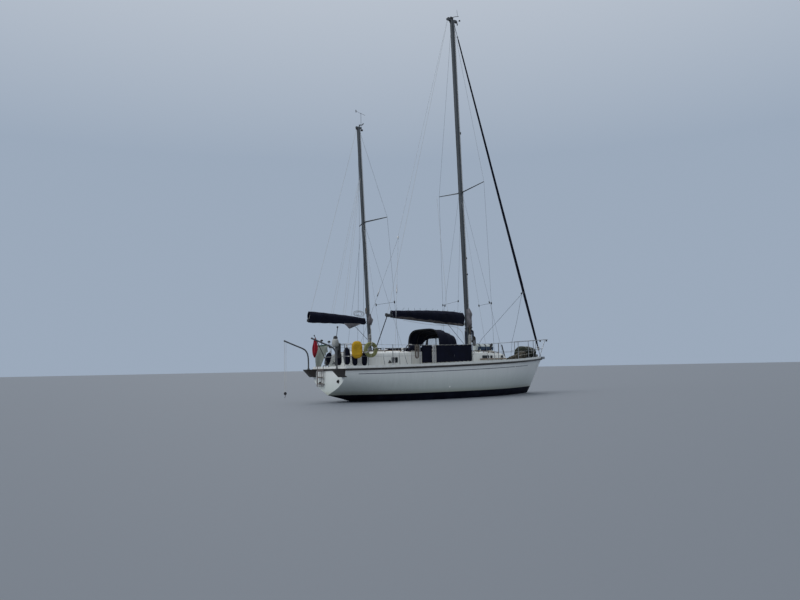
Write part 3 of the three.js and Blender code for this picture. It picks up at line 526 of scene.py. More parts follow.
def block(name, low, high, edge=0.004, segments=2):
    """A block between two corners, with its edges rounded."""
    bpy.ops.mesh.primitive_cube_add(size=1, location=[(a + b) / 2 for a, b in zip(low, high)])
    piece = bpy.context.object
    piece.name = name
    piece.scale = [b - a for a, b in zip(low, high)]
    choose(piece)
    bpy.ops.object.transform_apply(location=True, scale=True)
    bpy.ops.object.mode_set(mode="EDIT")
    bpy.ops.mesh.select_all(action="SELECT")
    bpy.ops.mesh.bevel(offset=edge, segments=segments, affect="EDGES")
    bpy.ops.object.mode_set(mode="OBJECT")
    return smooth(piece, 40)


def metal(name, slot, colour, roughness=0.3, patch=6.0, grain=240.0):
    """Bare metal with finger marks, fine scratches and dull salt patches."""
    made = Finish(name, slot, roughness, 1.0)
    rough = (roughness * 0.7, min(1, roughness * 1.6), patch * 2)
    scratches = (made.noise(grain, (1, 1, 0.2), detail=2.0), 0.12, 0.0005)
    return made.coat(made.noise(patch), (0.32, shade(colour, 0.72)), (0.6, colour), rough, scratches)


stainless = metal("stainless steel", "stainless", (0.36, 0.365, 0.37), 0.34)
cast_alloy = metal("cast aluminium", "stainless", (0.30, 0.31, 0.31), 0.5)


def cleat(x, y, yaw=0.0):
    """A two-horned cleat on its base."""
    z = deck_height(x, y)
    c, s = cos(yaw), sin(yaw)
    horns = [(-0.13, 0.062), (-0.07, 0.055), (0.07, 0.055), (0.13, 0.062)]
    parts = [bar("horns", [(x + a * c, y + a * s, z + h) for a, h in horns], 0.012, curved=True)]
    leg = [(-0.006, 0.03), (0.008, 0.028), (0.016, 0.014), (0.05, 0.012)]
    for a in (-0.04, 0.04):
        parts.append(turned("leg", (x + a * c, y + a * s, z), (0, 0, 1), leg, 12))
    return joined("cleat", parts)


hardware = [cleat(4.62, 0.28, -0.5), cleat(0.6, half_beam(0.6) - 0.13),
    cleat(-4.9, half_beam(-4.9) - 0.14, 0.16)]
fit("mooring_cleats", hardware, cast_alloy, pair=True)
TRACK_INSET = 0.105
track_shape = ((0.016, 0), (0.016, 0.012), (-0.016, 0.012), (-0.016, 0))
rows = []
for i in range(13):
    x = -1.9 + 2.3 * i / 12
    y = half_beam(x) - TRACK_INSET
    rows.append([(x, y - across, deck_height(x, y) + up) for across, up in track_shape])
tracks = [skin("track", rows, ring=True)]
grooved = [(-0.013, 0.034), (-0.008, 0.034), (0, 0.026), (0.008, 0.034), (0.013, 0.034)]
for x in (-1.5, -0.3):
    y = half_beam(x) - TRACK_INSET
    z = deck_height(x, y) + 0.012
    tracks.append(block("car", (x - 0.05, y - 0.024, z - 0.006), (x + 0.05, y + 0.024, z + 0.018)))
    tracks.append(turned("sheave", (x, y, z + 0.045), (0, 1, 0), grooved, 16))
fit("genoa_tracks", tracks, cast_alloy, pair=True, slot="anodised")


# The dark rubbing strake is hardwood, painted nearly black and worn at its edges, in lengths scarfed
# together. Its two triangular quarter brackets stand out past the transom and carry the davits. The toe rail
# above it is the white upstand of the deck moulding.
def dark_timber():
    made = Finish("black-painted hardwood", "dark_wood", 0.55)
    grain = made.noise(9.0, (0.4, 6, 6), 6.0)
    paint, worn = (0.014, 0.012, 0.012), (0.036, 0.030, 0.027)
    return made.coat(grain, (0.3, paint), (0.68, worn), (0.4, 0.7, 5.0), (grain, 0.35, 0.001))


dress("strake_and_brackets", "rubbing_strake", 40, dark_timber())
dress("toe_rail_moulding", "toe_rail", 40, deck_white)


# Below water: an iron fin keel and a skeg-hung rudder under dark antifouling, blotchy and scuffed, and a
# bronze strut, shaft and three-bladed propeller. The engine inside is one painted casing.
def antifouling(name, slot, dark, light):
    made = Finish(name, slot, 0.85)
    lumps = (made.noise(40.0, detail=6.0), 0.4, 0.002)
    return made.coat(made.noise(2.6, detail=8.0), (0.3, dark), (0.7, light), (0.7, 0.95, 6.0), lumps)


bottom_paint = antifouling("antifouling", "antifouling", (0.012, 0.015, 0.036), (0.030, 0.036, 0.066))
iron_paint = antifouling("painted iron", "keel_iron", (0.018, 0.018, 0.034), (0.052, 0.040, 0.044))
bronze = metal("bronze", "bronze", (0.42, 0.27, 0.11), 0.38)
grey_enamel = patchy("engine enamel", "engine_paint", (0.20, 0.26, 0.30), 0.45)
dress("fin_keel_casting", "fin_keel", 40, iron_paint)
dress("skeg", "rudder_skeg", 40, bottom_paint)
dress("rudder_blade_painted", "rudder", 40, bottom_paint, "rudder_blade")
dress("shaft_and_strut", "propeller_strut", 45, bronze)
dress("propeller_cast", "propeller", 60, bronze, "screw")
dress("engine_casing", "engine_block", 30, grey_enamel)


# Two cabin trunks stand on the deck, moulded in white gelcoat. Their windows are smoked acrylic panes, each
# in a thin frame of aluminium that stands a little proud. Teak handrails run along the roofs.
cabin_white = moulded_white("cabin gelcoat", (0.70, 0.715, 0.695))
for name, source in (("forward_cabin", "forward_coachroof"), ("aft_cabin_trunk", "aft_coachroof")):
    trunk = smooth(clone(name, source), 40)
    seat(modify(trunk, "WEIGHTED_NORMAL", keep_sharp=True), cabin_white, source)


def smoked():
    made = Finish("smoked acrylic", "black_plastic", 0.08)
    made.shader.inputs["Specular IOR Level"].default_value = 0.3
    dark, haze = (0.006, 0.008, 0.010), (0.014, 0.017, 0.019)
    return made.coat(made.noise(7.0), (0.35, dark), (0.7, haze), (0.12, 0.26, 9.0))


def rounded(x0, x1, z0, z1, corner, steps=4):
    """The points of an upright rectangle with round corners, in the plane of length and height."""
    points = []
    left, right, low, high = x0 + corner, x1 - corner, z0 + corner, z1 - corner
    for cx, cz, start in ((right, high, 0), (left, high, 90), (left, low, 180), (right, low, 270)):
        for i in range(steps + 1):
            angle = radians(start + 90 * i / steps)
            points.append((cx + corner * cos(angle), cz + corner * sin(angle)))
    return points


def on_side(source, x, z, out):
    """A point on the starboard wall of a trunk, and out from it."""
    place, normal = surface(source, (x, -3, z), (0, 1, 0))
    return Vector((x, place.y, z)) + Vector((0, -out, 0))


WINDOWS = (
    ("forward_coachroof", -0.33, 0.33, 1.48, 1.64), ("forward_coachroof", 1.17, 1.57, 1.49, 1.59),
    ("forward_coachroof", 1.67, 1.79, 1.49, 1.59), ("forward_coachroof", 2.37, 2.51, 1.515, 1.59),
    ("aft_coachroof", -3.36, -3.13, 1.36, 1.54),
)
panes, frames = [], []
for source, x0, x1, z0, z1 in WINDOWS:
    corners = ((x0 - 0.03, z0 - 0.03), (x1 + 0.03, z0 - 0.03), (x0 - 0.03, z1 + 0.03))
    ends = [on_side(source, x, z, 0) for x, z in corners]
    along = (ends[1] - ends[0]) / (x1 - x0 + 0.06)
    up = (ends[2] - ends[0]) / (z1 - z0 + 0.06)

    def wall(x, z, out):
        """A point of the window's own flat plane."""
        return ends[0] + along * (x - x0 + 0.03) + up * (z - z0 + 0.03) + Vector((0, -out, 0))

    rim = rounded(x0 - 0.018, x1 + 0.018, z0 - 0.018, z1 + 0.018, 0.045)
    sill = rounded(x0 + 0.001, x1 - 0.001, z0 + 0.001, z1 - 0.001, 0.03)
    levels = ((rim, -0.001), (rim, 0.009), (sill, 0.012), (sill, -0.006))
    rings = [[wall(x, z, out) for x, z in outline] for outline, out in levels]
    frames.append(skin("frame", rings, ring=True))
    middle = wall((x0 + x1) / 2, (z0 + z1) / 2, 0)
    rings = []
    for share, out in ((0.02, 0.004), (1, 0.004), (1, -0.002), (0.02, -0.002)):
        rings.append([middle.lerp(wall(x, z, 0), share) - Vector((0, out, 0)) for x, z in sill])
    panes.append(skin("pane", rings, ring=True))
seat(sealed(both_sides(joined("window_frames", frames))), cast_alloy, slot="anodised")
seat(sealed(both_sides(joined("cabin_panes", panes))), smoked())


def teak():
    """Bare teak, weathered to a silver brown."""
    made = Finish("weathered teak", "dark_wood", 0.7)
    grain = made.noise(14.0, (0.5, 5, 5), 7.0)
    dark, light = (0.115, 0.082, 0.055), (0.25, 0.20, 0.15)
    return made.coat(grain, (0.3, dark), (0.68, light), (0.6, 0.85, 8.0), (grain, 0.4, 0.001))


weathered_teak = teak()


def roof(source, x, y):
    return surface(source, (x, y, 2.4), (0, 0, -1))[0].z


def handrail(source, x0, x1, y0, y1, loops):
    """A teak grab rail: a bar carried on short feet."""
    points = []
    parts = []
    for i in range(loops + 1):
        share = i / loops
        x, y = x0 + (x1 - x0) * share, y0 + (y1 - y0) * share
        z = roof(source, x, y)
        points.append((x, y, z + 0.05))
        parts.append(turned("foot", (x, y, z - 0.008), (0, 0, 1),
            [(0, 0.024), (0.012, 0.018), (0.05, 0.016)], 8))
    parts.append(bar("rail", points, 0.015))
    return joined("handrail", parts)


rails = [handrail("forward_coachroof", 0.85, 2.35, 0.62, 0.45, 5),
    handrail("aft_coachroof", -4.5, -2.85, 0.68, 0.78, 5)]
fit("teak_handrails", rails, weathered_teak, pair=True)


# Roof fittings, screwed down: steel mushroom vents, a black rubber cowl on its box beside the canister, and a
# triangular air vent of black plastic in each side of the aft cabin.
VENTS = (
    ("forward_coachroof", 2.5, 0), ("aft_coachroof", -4.72, 0), ("aft_coachroof", -2.95, 0),
    ("forward_coachroof", 0.55, 0.48),
)
dome = [(-0.006, 0.06), (0.018, 0.055), (0.02, 0.04), (0.04, 0.04), (0.042, 0.085), (0.06, 0.08),
    (0.075, 0.05), (0.08, 0.01)]
vents = [turned("vent", (x, y, roof(source, x, y)), (0, 0, 1), dome, 20) for source, x, y in VENTS]
fit("mushroom_vents", vents, stainless)
base = roof("forward_coachroof", 2.02, -0.36)
seat(block("dorade_box", (1.90, -0.45, base - 0.02), (2.14, -0.27, base + 0.07), 0.01), cabin_white)
throat = [(2.02, -0.36, base + 0.065), (2.02, -0.36, base + 0.24), (2.03, -0.36, base + 0.29),
    (2.07, -0.36, base + 0.32)]
bell = [(0, 0.037), (0.02, 0.046), (0.045, 0.06), (0.052, 0.062), (0.05, 0.054), (0.02, 0.034)]
mouth = turned("mouth", (2.05, -0.36, base + 0.315), (1, 0, 0.15), bell, 20)
fit("cowl_vent", [bar("throat", throat, 0.034, 12, curved=True), mouth], dark_rubber)
LOUVRE = ((-3.53, 1.345), (-3.375, 1.345), (-3.453, 1.455))
louvres = [on_side("aft_coachroof", x, z, 0.002) for x, z in LOUVRE]
centre = sum(louvres, Vector()) / 3
rows = []
for share, out in ((0.02, 0.012), (0.72, 0.012), (0.8, 0.004), (0.86, 0.012), (1, 0.010), (1.02, -0.004)):
    rows.append([centre.lerp(point, share) - Vector((0, out, 0)) for point in louvres])
seat(both_sides(skin("triangle_vents", rows, ring=True)), dark_rubber)


# The sprayhood is navy acrylic canvas, cut in panels and stretched over three bent tubes. It is open aft,
# with a windscreen of three clear vinyl panes in its front and a clear triangle in each side.
def canvas(name, slot, dark, light, faded=0.2, pitch=0.004):
    """Woven cloth on the piece's own map in metres, faded where it faces the sky, with soft creases."""
    made = Finish(name, slot, 0.92)
    made.shader.inputs["Specular IOR Level"].default_value = 0.12
    made.shader.inputs["Sheen Weight"].default_value = 0.02
    made.shader.inputs["Sheen Roughness"].default_value = 0.6
    threads = 1 / (pitch * 6.283)
    weave = made.math("ADD", made.bands(made.map, threads, "X"), made.bands(made.map, threads, "Y"))
    dirt = made.noise(3.5, detail=6.0)
    base = made.ramp(dirt, (0.32, dark), (0.66, light))
    up = made.apart(made.add("ShaderNodeNewGeometry").outputs["Normal"])["Z"]
    sun = made.math("MULTIPLY", made.math("MAXIMUM", up, 0.0), faded)
    pale = [value * 1.9 + 0.012 for value in light]
    made.wire(made.mix(sun, base, pale), "Base Color")
    creases = made.math("MULTIPLY", made.noise(9.0, (1, 1, 2.5), 3.0), 5.0)
    made.relief(made.math("ADD", made.math("MULTIPLY", weave, 0.25), creases), 0.5, 0.004)
    made.uneven(0.82, 0.98, 5.0)
    return made.material


navy = canvas("navy acrylic canvas", "navy_canvas", (0.0022, 0.003, 0.009), (0.0045, 0.006, 0.017),
    0.25, 0.0022)
HOOD = ((-1.19, 0.985, 2.65), (-0.76, 0.985, 2.61), (-0.48, 0.965, 2.51), (-0.30, 0.95, 2.43))
HOOD_FOOT = 1.741


def between(rows, place):
    """A smooth value between table rows, by the first column."""
    place = min(max(place, min(rows[0][0], rows[-1][0])), max(rows[0][0], rows[-1][0]))
    i = next(k for k in range(len(rows) - 1) if (rows[k][0] - place) * (rows[k + 1][0] - place) <= 0)
    before, start, end, after = [rows[min(len(rows) - 1, max(0, k))] for k in (i - 1, i, i + 1, i + 2)]
    t = (place - start[0]) / (end[0] - start[0])
    values = []
    for a, b, c, d in zip(before[1:], start[1:], end[1:], after[1:]):
        values.append(b + 0.5 * t * (c - a + t * (2 * a - 5 * b + 4 * c - d + t * (3 * (b - c) + d - a))))
    return values


def hood_arch(x, inset=0.0, points=40):
    half, top = between(HOOD, x)
    arch = []
    for i in range(points + 1):
        angle = pi * i / points
        c, s = cos(angle), sin(angle)
        across = copysign(abs(c) ** 0.5, c) * (half - inset)
        arch.append(Vector((x, across, HOOD_FOOT + (top - inset - HOOD_FOOT) * max(0, s) ** 0.5)))
    return arch


def hood_sag(x, point):
    """How far the cloth hangs in between its tubes."""
    for aft, fore in ((-1.19, -0.76), (-0.76, -0.48)):
        if aft < x < fore:
            depth = 0.014 * sin(pi * (x - aft) / (fore - aft))
            centre = Vector((x, 0, 2.0))
            return point + (centre - point).normalized() * depth
    return point


rows = []
for i in range(22):
    x = HOOD[0][0] + (HOOD[-1][0] - HOOD[0][0]) * i / 21
    rows.append([hood_sag(x, point) for point in hood_arch(x, 0.004)])
front = HOOD[-1][0]


def hood_base(y):
    """The height of the hood's front edge: over the hatch's rails in the middle, on the roof beside them."""
    if abs(y) < 0.37:
        return 1.905
    if abs(y) > 0.85:
        return HOOD_FOOT
    return roof("forward_coachroof", front, y) + 0.004


for share in (0.8, 0.6, 0.4, 0.2, 0.0):
    rows.append([Vector((front - 0.004, p.y, hood_base(p.y) + (p.z - hood_base(p.y)) * share))
        for p in rows[21]])
hood = thick(skin("sprayhood_canvas", rows), 0.004, -1)


def prism(outline, low, high):
    """A closed prism over an outline in length and height, between two distances across."""
    return sealed(skin("prism", [[(x, y, z) for x, z in outline] for y in (low, high)], ring=True))


def cut(piece, tool):
    modify(piece, "BOOLEAN", operation="DIFFERENCE", object=tool, solver="EXACT")
    bpy.data.objects.remove(tool)


TRIANGLE = ((-0.62, 1.98), (-0.35, 1.98), (-0.35, 2.27))
cut(hood, prism(TRIANGLE, 0.75, 1.1))
SCREENS = ((-0.82, -0.33), (-0.28, 0.28), (0.33, 0.82))
for low, high in SCREENS:
    cut(hood, block("cutter", (front - 0.1, low, 2.0), (front + 0.1, high, 2.31), 0.03, 3))
seat(smooth(hood, 50), navy, "sprayhood")

clear = Finish("clear vinyl", "pale_canvas", 0.12)
clear.shader.inputs["Alpha"].default_value = 0.28
clear.wire(clear.ramp(clear.noise(6.0), (0.3, (0.60, 0.64, 0.64)), (0.7, (0.74, 0.77, 0.76))), "Base Color")
clear.relief(clear.noise(4.0), 0.5, 0.004)
screens = []
for low, high in SCREENS:
    grid = [[(front - 0.010, y, z) for y in (low - 0.012, (low + high) / 2, high + 0.012)]
        for z in (1.988, 2.155, 2.322)]
    screens.append(skin("screen", grid))
place = []
for x, z in TRIANGLE:
    half, top = between(HOOD, x)
    rise = ((z - HOOD_FOOT) / (top - HOOD_FOOT)) ** 2
    place.append(Vector((x, ((1 - rise * rise) ** 0.25) * (half - 0.011), z)))
middle = sum(place, Vector()) / 3
screens.append(skin("screen", [[middle.lerp(point, share) for point in place] for share in (0.03, 1.06)],
    ring=True))
fit("sprayhood_windows", screens, clear.material)
# The hoops are stainless tubes given the dark rubber finish as painted shade, for the shadow inside the hood.
hoops = [bar("hoop", hood_arch(x, 0.028, 24), 0.011) for x in (-1.165, -0.76, -0.48, -0.32)]
fit("sprayhood_hoops", hoops, dark_rubber)
seams = [bar("piping", hood_arch(-1.186, 0.004), 0.012, 6)]
seams += [bar("piping", hood_arch(x, -0.001), 0.006, 6) for x in (-0.76, -0.48, -0.302)]
fit("sprayhood_piping", seams, navy)


# Four side dodgers of the same canvas are laced between the guard wires beside the cockpit. Each has a hem on
# every edge, brass eyelets along top and foot, and a line laced through them round the wires.
WIRE_INSET = 0.07
POSTS = (-4.56, -3.65, -2.56, -1.96, -1.04, -0.14, 1.3, 2.7, 3.7, 4.35)


def wire_side(x):
    """The guard wires' distance from the centreline: straight from post to post."""
    i = max(k for k, post in enumerate(POSTS[:-1]) if post <= x)
    share = (x - POSTS[i]) / (POSTS[i + 1] - POSTS[i])
    return (1 - share) * (half_beam(POSTS[i]) - WIRE_INSET) + share * (half_beam(POSTS[i + 1]) - WIRE_INSET)


def wire_height(x):
    return 1.965 + 0.0055 * (x + 2.5) ** 2


brass = metal("brass eyelets", "bronze", (0.46, 0.34, 0.15), 0.35)
pale_line = patchy("pale lacing", "pale_rope", (0.52, 0.52, 0.48), 0.9, grain=500.0, depth=0.4)


def dodger(name, source, x0, x1, reach, side):
    """A laced panel with its hems, eyelets and lacing."""
    columns = max(6, round((x1 - x0) / 0.05))

    def at(x, share, out=0.0):
        """A point of the cloth: the foot is 0 and the head is 1. It hollows between its eyelets."""
        low, high = sheer(x) + 0.11, wire_height(x)
        phase = sin((x - x0) / (x1 - x0) * pi)
        wave = 0.006 * sin(9.0 * x + 5.0 * share) * sin(pi * share)
        drop = 0.012 * (1 - cos((x - x0) / 0.20 * 2 * pi)) * 0.5
        z = low + (high - low) * share - (drop if share > 0.97 else 0) + (drop if share < 0.03 else 0)
        return Vector((x, side * (wire_side(x) + reach + out + wave * phase), z))

    rows = [[at(x0 + (x1 - x0) * j / columns, i / 12) for j in range(columns + 1)] for i in range(13)]
    cloth = thick(skin(name, rows), 0.003, 0)
    seat(cloth, navy, source)
    edges = []
    section = ((-1, 0.0025), (-1, 0.0035), (1, 0.0035), (1, 0.0025))
    for share in (0.035, 0.965):
        xs = [x0 + (x1 - x0) * j / columns for j in range(columns + 1)]
        edges.append(skin("hem", [[at(x, share + 0.03 * step, out) for step, out in section] for x in xs],
            ring=True))
    for x in (x0 + 0.02, x1 - 0.02):
        hem = [[at(x + 0.018 * step, i / 12, out) for step, out in section] for i in range(13)]
        edges.append(skin("hem", hem, ring=True))
    hems = fit(name + "_hems", edges, navy)
    rings, lace = [], []
    eyelet = [(0, 0.011), (0.002, 0.011), (0.003, 0.008), (0.002, 0.005)]
    count = round((x1 - x0) / 0.2)
    for share in (0.03, 0.97):
        points = []
        for k in range(count + 1):
            x = x0 + 0.02 + (x1 - x0 - 0.04) * k / count
            eye = at(x, share, 0.0045)
            rings.append(turned("eyelet", eye - Vector((0, side * 0.003, 0)), (0, side, 0), eyelet, 10))
            beyond = wire_height(x) + 0.008 if share > 0.5 else sheer(x) + 0.075
            points += [eye, Vector((x + 0.05, side * wire_side(min(x + 0.05, x1)), beyond))]
        lace.append(bar("lacing", points[:-1], 0.003, 6))
    fit(name + "_eyelets", rings, brass)
    fit(name + "_lacing", lace, pale_line)


for hand, side in (("port", 1), ("starboard", -1)):
    dodger(f"dodger_aft_{hand}_cloth", f"dodger_aft_{hand}", -2.49, -2.05, 0.0095, side)
    dodger(f"dodger_long_{hand}_cloth", f"dodger_long_{hand}", -1.87, -0.19, 0.0175, side)


# The two stowed sails lie flaked on their booms under navy covers, each laced below the boom. At the mast the
# main's cover closes round the sail in a collar.
MAIN_COVER = ((0.87, 3.355, 0.12), (0.30, 3.395, 0.15), (-0.90, 3.395, 0.135), (-1.90, 3.355, 0.095),
    (-2.70, 3.330, 0.055))
MIZZEN_COVER = ((-3.88, 3.000, 0.070), (-4.50, 3.070, 0.085), (-5.50, 3.140, 0.095), (-6.18, 3.175, 0.090))
MAIN_BOOM = {"start": 0.92, "z": 2.89, "end": -2.9, "end_z": 3.15, "radius": 0.055}
MIZZEN_BOOM = {"start": -3.865, "z": 2.84, "end": -6.21, "end_z": 2.85, "radius": 0.042}


def boom_height(boom, x):
    return boom["z"] + (boom["end_z"] - boom["z"]) * (boom["start"] - x) / (boom["start"] - boom["end"])


def softer(piece):
    """Rounds it by one level of subdivision."""
    return modify(piece, "SUBSURF", levels=1, render_levels=1)


def sail_cover(name, source, body, boom, table, tie):
    """The cover's skin: from its laced foot below the boom on one side, over the sail, to the other."""
    start, end = table[0][0], table[-1][0]
    count = round((start - end) / 0.045)
    rows = []
    for i in range(count + 1):
        x = start + (end - start) * i / count
        high, half = between(table, x)
        low = boom_height(boom, x) - boom["radius"] - 0.035
        tied = 0.5 - 0.5 * cos(2 * pi * (start - x) / tie)
        slack = 1 + 0.10 * tied + 0.05 * sin(17.0 * x)
        waist = boom["radius"] + 0.008
        side = [
            (0.012 + 0.01 * tied, low + 0.012 * tied), (waist * 0.8, low + 0.016),
            (waist, low + 0.035 + boom["radius"]), (half * 0.75 * slack, low + 0.10 + boom["radius"] * 1.4),
            (half * slack, low + (high - low) * 0.52), (half * 0.93 * slack, low + (high - low) * 0.70),
            (half * 0.62, low + (high - low) * 0.86), (half * 0.26, low + (high - low) * 0.965),
            (0.0, high - 0.012 * tied),
        ]
        right = [Vector((x, -y, z)) for y, z in side]
        left = [Vector((x, y, z)) for y, z in reversed(side[:-1])]
        rows.append(right + left)
    cover = thick(softer(skin(name, rows)), 0.0035, 1)
    seat(smooth(cover, 60), navy, source, body=body)
    ties = []
    x = start - tie / 2
    while x > end + 0.05:
        low = boom_height(boom, x) - boom["radius"] - 0.02
        ties.append(bar("tie", [(x + 0.02, -0.03, low + 0.02), (x, -0.012, low - 0.012),
            (x - 0.01, 0.012, low - 0.014), (x - 0.02, 0.03, low + 0.02)], 0.004, 6, curved=True))
        ties.append(bar("end", [(x, 0, low - 0.012), (x + 0.008, -0.004, low - 0.06),
            (x - 0.004, 0.004, low - 0.10)], 0.003, 6, curved=True))
        x -= tie
    lacing = fit(name + "_lacing", ties, pale_line, body=body)
    seams = []
    for column in (5, 11):
        seams.append(bar("seam", [row[column] + Vector((0, copysign(0.004, row[column].y), 0))
            for row in rows[::2]], 0.0028, 6))
    seam = fit(name + "_seams", seams, navy, body=body)


sail_cover("main_cover", "main_sail_cover", "main_boom_and_sail", MAIN_BOOM, MAIN_COVER, 0.46)
sail_cover("mizzen_cover", "mizzen_sail_cover", "mizzen_boom_and_sail", MIZZEN_BOOM, MIZZEN_COVER, 0.42)


# The cockpit is a well in the deck inside a moulded coaming. Its seats and sole are laid with teak slats, and
# teak caps run along the coaming's top.
dress("coaming_moulding", "cockpit_coaming", 30, cabin_white)
slats = []
for row in range(12):
    y = 0.365 + 0.048 * row
    low = max(deck_height(x, y + step) for x in (-2.35, -1.5, -0.72) for step in (0, 0.04))
    slats.append(block("slat", (-2.42, y, low + 0.001), (-0.68, y + 0.041, low + 0.013), 0.003, 1))
slats.append(block("cap", (-2.44, 0.945, 1.741), (-1.21, 0.995, 1.756), 0.005))
fit("teak_seats_and_caps", slats, weathered_teak, pair=True)
grating = [block("cap", (-2.495, -0.99, 1.741), (-2.445, 0.99, 1.756), 0.005)]
for row in range(9):
    y = -0.3 + 0.0685 * row
    grating.append(block("strip", (-2.3, y, 0.816), (-1.86, y + 0.05, 0.83), 0.003, 1))
    grating.append(block("strip", (-1.55, y, 0.816), (-0.75, y + 0.05, 0.83), 0.003, 1))
for x in (-2.25, -2.0, -1.5, -1.15, -0.82):
    grating.append(block("bearer", (x, -0.3, 0.8005), (x + 0.04, 0.3, 0.817), 0.002, 1))
fit("teak_sole_grating", grating, weathered_teak)


# The helm stands on a moulded pedestal with a domed compass, an engine lever and a guard of bent tube ahead
# of it. The destroyer wheel is stainless, with a stitched leather rim at its top spoke.
dress("pedestal", "helm_pedestal", 40, cabin_white)
dress("wheel", "steering_wheel", 60, stainless, body="helm")
leather = patchy("stitched leather", "black_plastic", (0.05, 0.045, 0.042), 0.7, grain=120.0, depth=0.5)
wrap = []
for start in (54, 126):
    arc = [radians(start + 4 * k) for k in range(-3, 4)]
    wrap.append(bar("grip", [(-1.83, 0.35 * cos(a), 1.7 + 0.35 * sin(a)) for a in arc], 0.0185, 12))
fit("wheel_leather", wrap, leather, body="helm")
nut = turned("wheel_nut", (-1.852, 0, 1.7), (-1, 0, 0),
    [(0, 0.03), (0.01, 0.03), (0.014, 0.02), (0.03, 0.014), (0.034, 0.006)], 12)
seat(nut, stainless, body="helm")
bowl = [(-0.01, 0.07), (0.03, 0.075), (0.05, 0.078), (0.052, 0.066), (0.075, 0.055), (0.092, 0.034),
    (0.099, 0.01)]
seat(turned("compass", (-1.70, 0, 1.83), (0, 0, 1), bowl, 24), smoked())
guard = [(-1.53, 0.16, 0.801), (-1.53, 0.17, 1.5), (-1.56, 0.17, 1.88), (-1.60, 0.13, 1.98), (-1.60, 0, 1.99)]
guard += [(x, -y, z) for x, y, z in reversed(guard[:-1])]
parts = [bar("guard", guard, 0.0125, 10, curved=True)]
parts.append(bar("brace", [(-1.556, -0.16, 1.80), (-1.66, -0.05, 1.80)], 0.006))
parts.append(bar("brace", [(-1.556, 0.16, 1.80), (-1.66, 0.05, 1.80)], 0.006))
for y in (0.16, -0.16):
    parts.append(turned("foot", (-1.53, y, 0.799), (0, 0, 1),
        [(0, 0.035), (0.006, 0.033), (0.01, 0.018), (0.03, 0.016)], 12))
lever = [(-1.68, -0.09, 1.62), (-1.68, -0.12, 1.63), (-1.66, -0.125, 1.72), (-1.65, -0.125, 1.79)]
parts.append(bar("lever", lever, 0.007, curved=True))
parts.append(turned("knob", (-1.65, -0.125, 1.785), (0, 0, 1),
    [(0, 0.008), (0.006, 0.015), (0.02, 0.016), (0.03, 0.008)], 12))
fit("pedestal_guard", parts, stainless)


# Winches of chromed bronze stand on pads: two primaries on the aft cabin's forward corners and two for the
# halyards beside the hood. The starboard primary's neighbour wears a canvas cover over its coiled tail.
def winch(x, y, z, size=1.0):
    drum = [(-0.012, 0.072), (0.012, 0.072), (0.02, 0.056), (0.07, 0.043), (0.098, 0.050), (0.102, 0.060),
            (0.112, 0.062), (0.114, 0.054), (0.122, 0.054), (0.124, 0.064), (0.134, 0.060), (0.138, 0.03),
                (0.139, 0.012)]
    return turned("winch", (x, y, z), (0, 0, 1), [(a * size, r * size) for a, r in drum], 24)


chrome = metal("chromed bronze", "stainless", (0.62, 0.61, 0.58), 0.16)
winches = []
for source, x, y, size in (("aft_coachroof", -2.72, 0.74, 1.0), ("forward_coachroof", -0.02, 0.66, 0.85)):
    winches.append(winch(x, y, roof(source, x, y), size))
fit("winches", winches, chrome, pair=True)
clutches = []
for y in (0.60, 0.66, 0.72):
    z = roof("forward_coachroof", 0.12, y)
    clutches.append(block("clutch", (0.12, y - 0.018, z - 0.01), (0.25, y + 0.018, z + 0.045), 0.006))
    clutches.append(block("handle", (0.14, y - 0.012, z + 0.04), (0.23, y + 0.012, z + 0.058), 0.004))
fit("rope_clutches", clutches, dark_rubber, pair=True)


def around(count):
    """The angles of a full turn, in even steps."""
    return [2 * pi * k / count for k in range(count)]


def capped(rows, share):
    """Rows of points with a small ring added at each end, which closes them."""
    first, last = [
        [(sum(row, Vector()) / len(row)).lerp(point, share) for point in row] for row in (rows[0], rows[-1])
    ]
    return [first, *rows, last]


def sack(name, sections, count=20, folds=7, depth=0.06, seed=1):
    """A soft closed bag through sections: centre, two half widths, and how deep its folds are."""
    dice = random.Random(seed)
    phase = [dice.uniform(0, 6.28) for _ in range(4)]
    rows = []
    for i, (centre, across, up, fold) in enumerate(sections):
        row = []
        for a in around(count):
            lump = 1 + depth * fold * (sin(folds * a + phase[0] + 0.7 * i)
                + 0.5 * sin(3 * a + phase[1] - 0.9 * i))
            row.append(Vector(centre) + Vector(across) * cos(a) * lump + Vector(up) * sin(a) * lump)
        rows.append(row)
    return smooth(softer(sealed(skin(name, capped(rows, 0.04), ring=True))), 70)


HUMP = (
    (0.02, 0.4), (0.10, 0.9), (0.15, 1.1), (0.18, 1.25), (0.19, 1.3), (0.17, 1.3), (0.15, 1.2), (0.11, 1.0),
    (0.05, 0.7), (0.02, 0.3),
)
hump = []
for k, (high, wide) in enumerate(HUMP):
    centre = (-2.62 + 0.045 * k, -0.965, 1.79 + high * 0.5)
    hump.append((centre, (0, 0.001 + 0.055 * wide, 0), (0, 0, 0.02 + high * 0.5), 1))
covered = sack("covered_winch", hump, 18, 5, 0.07, 4)
seat(covered, navy)


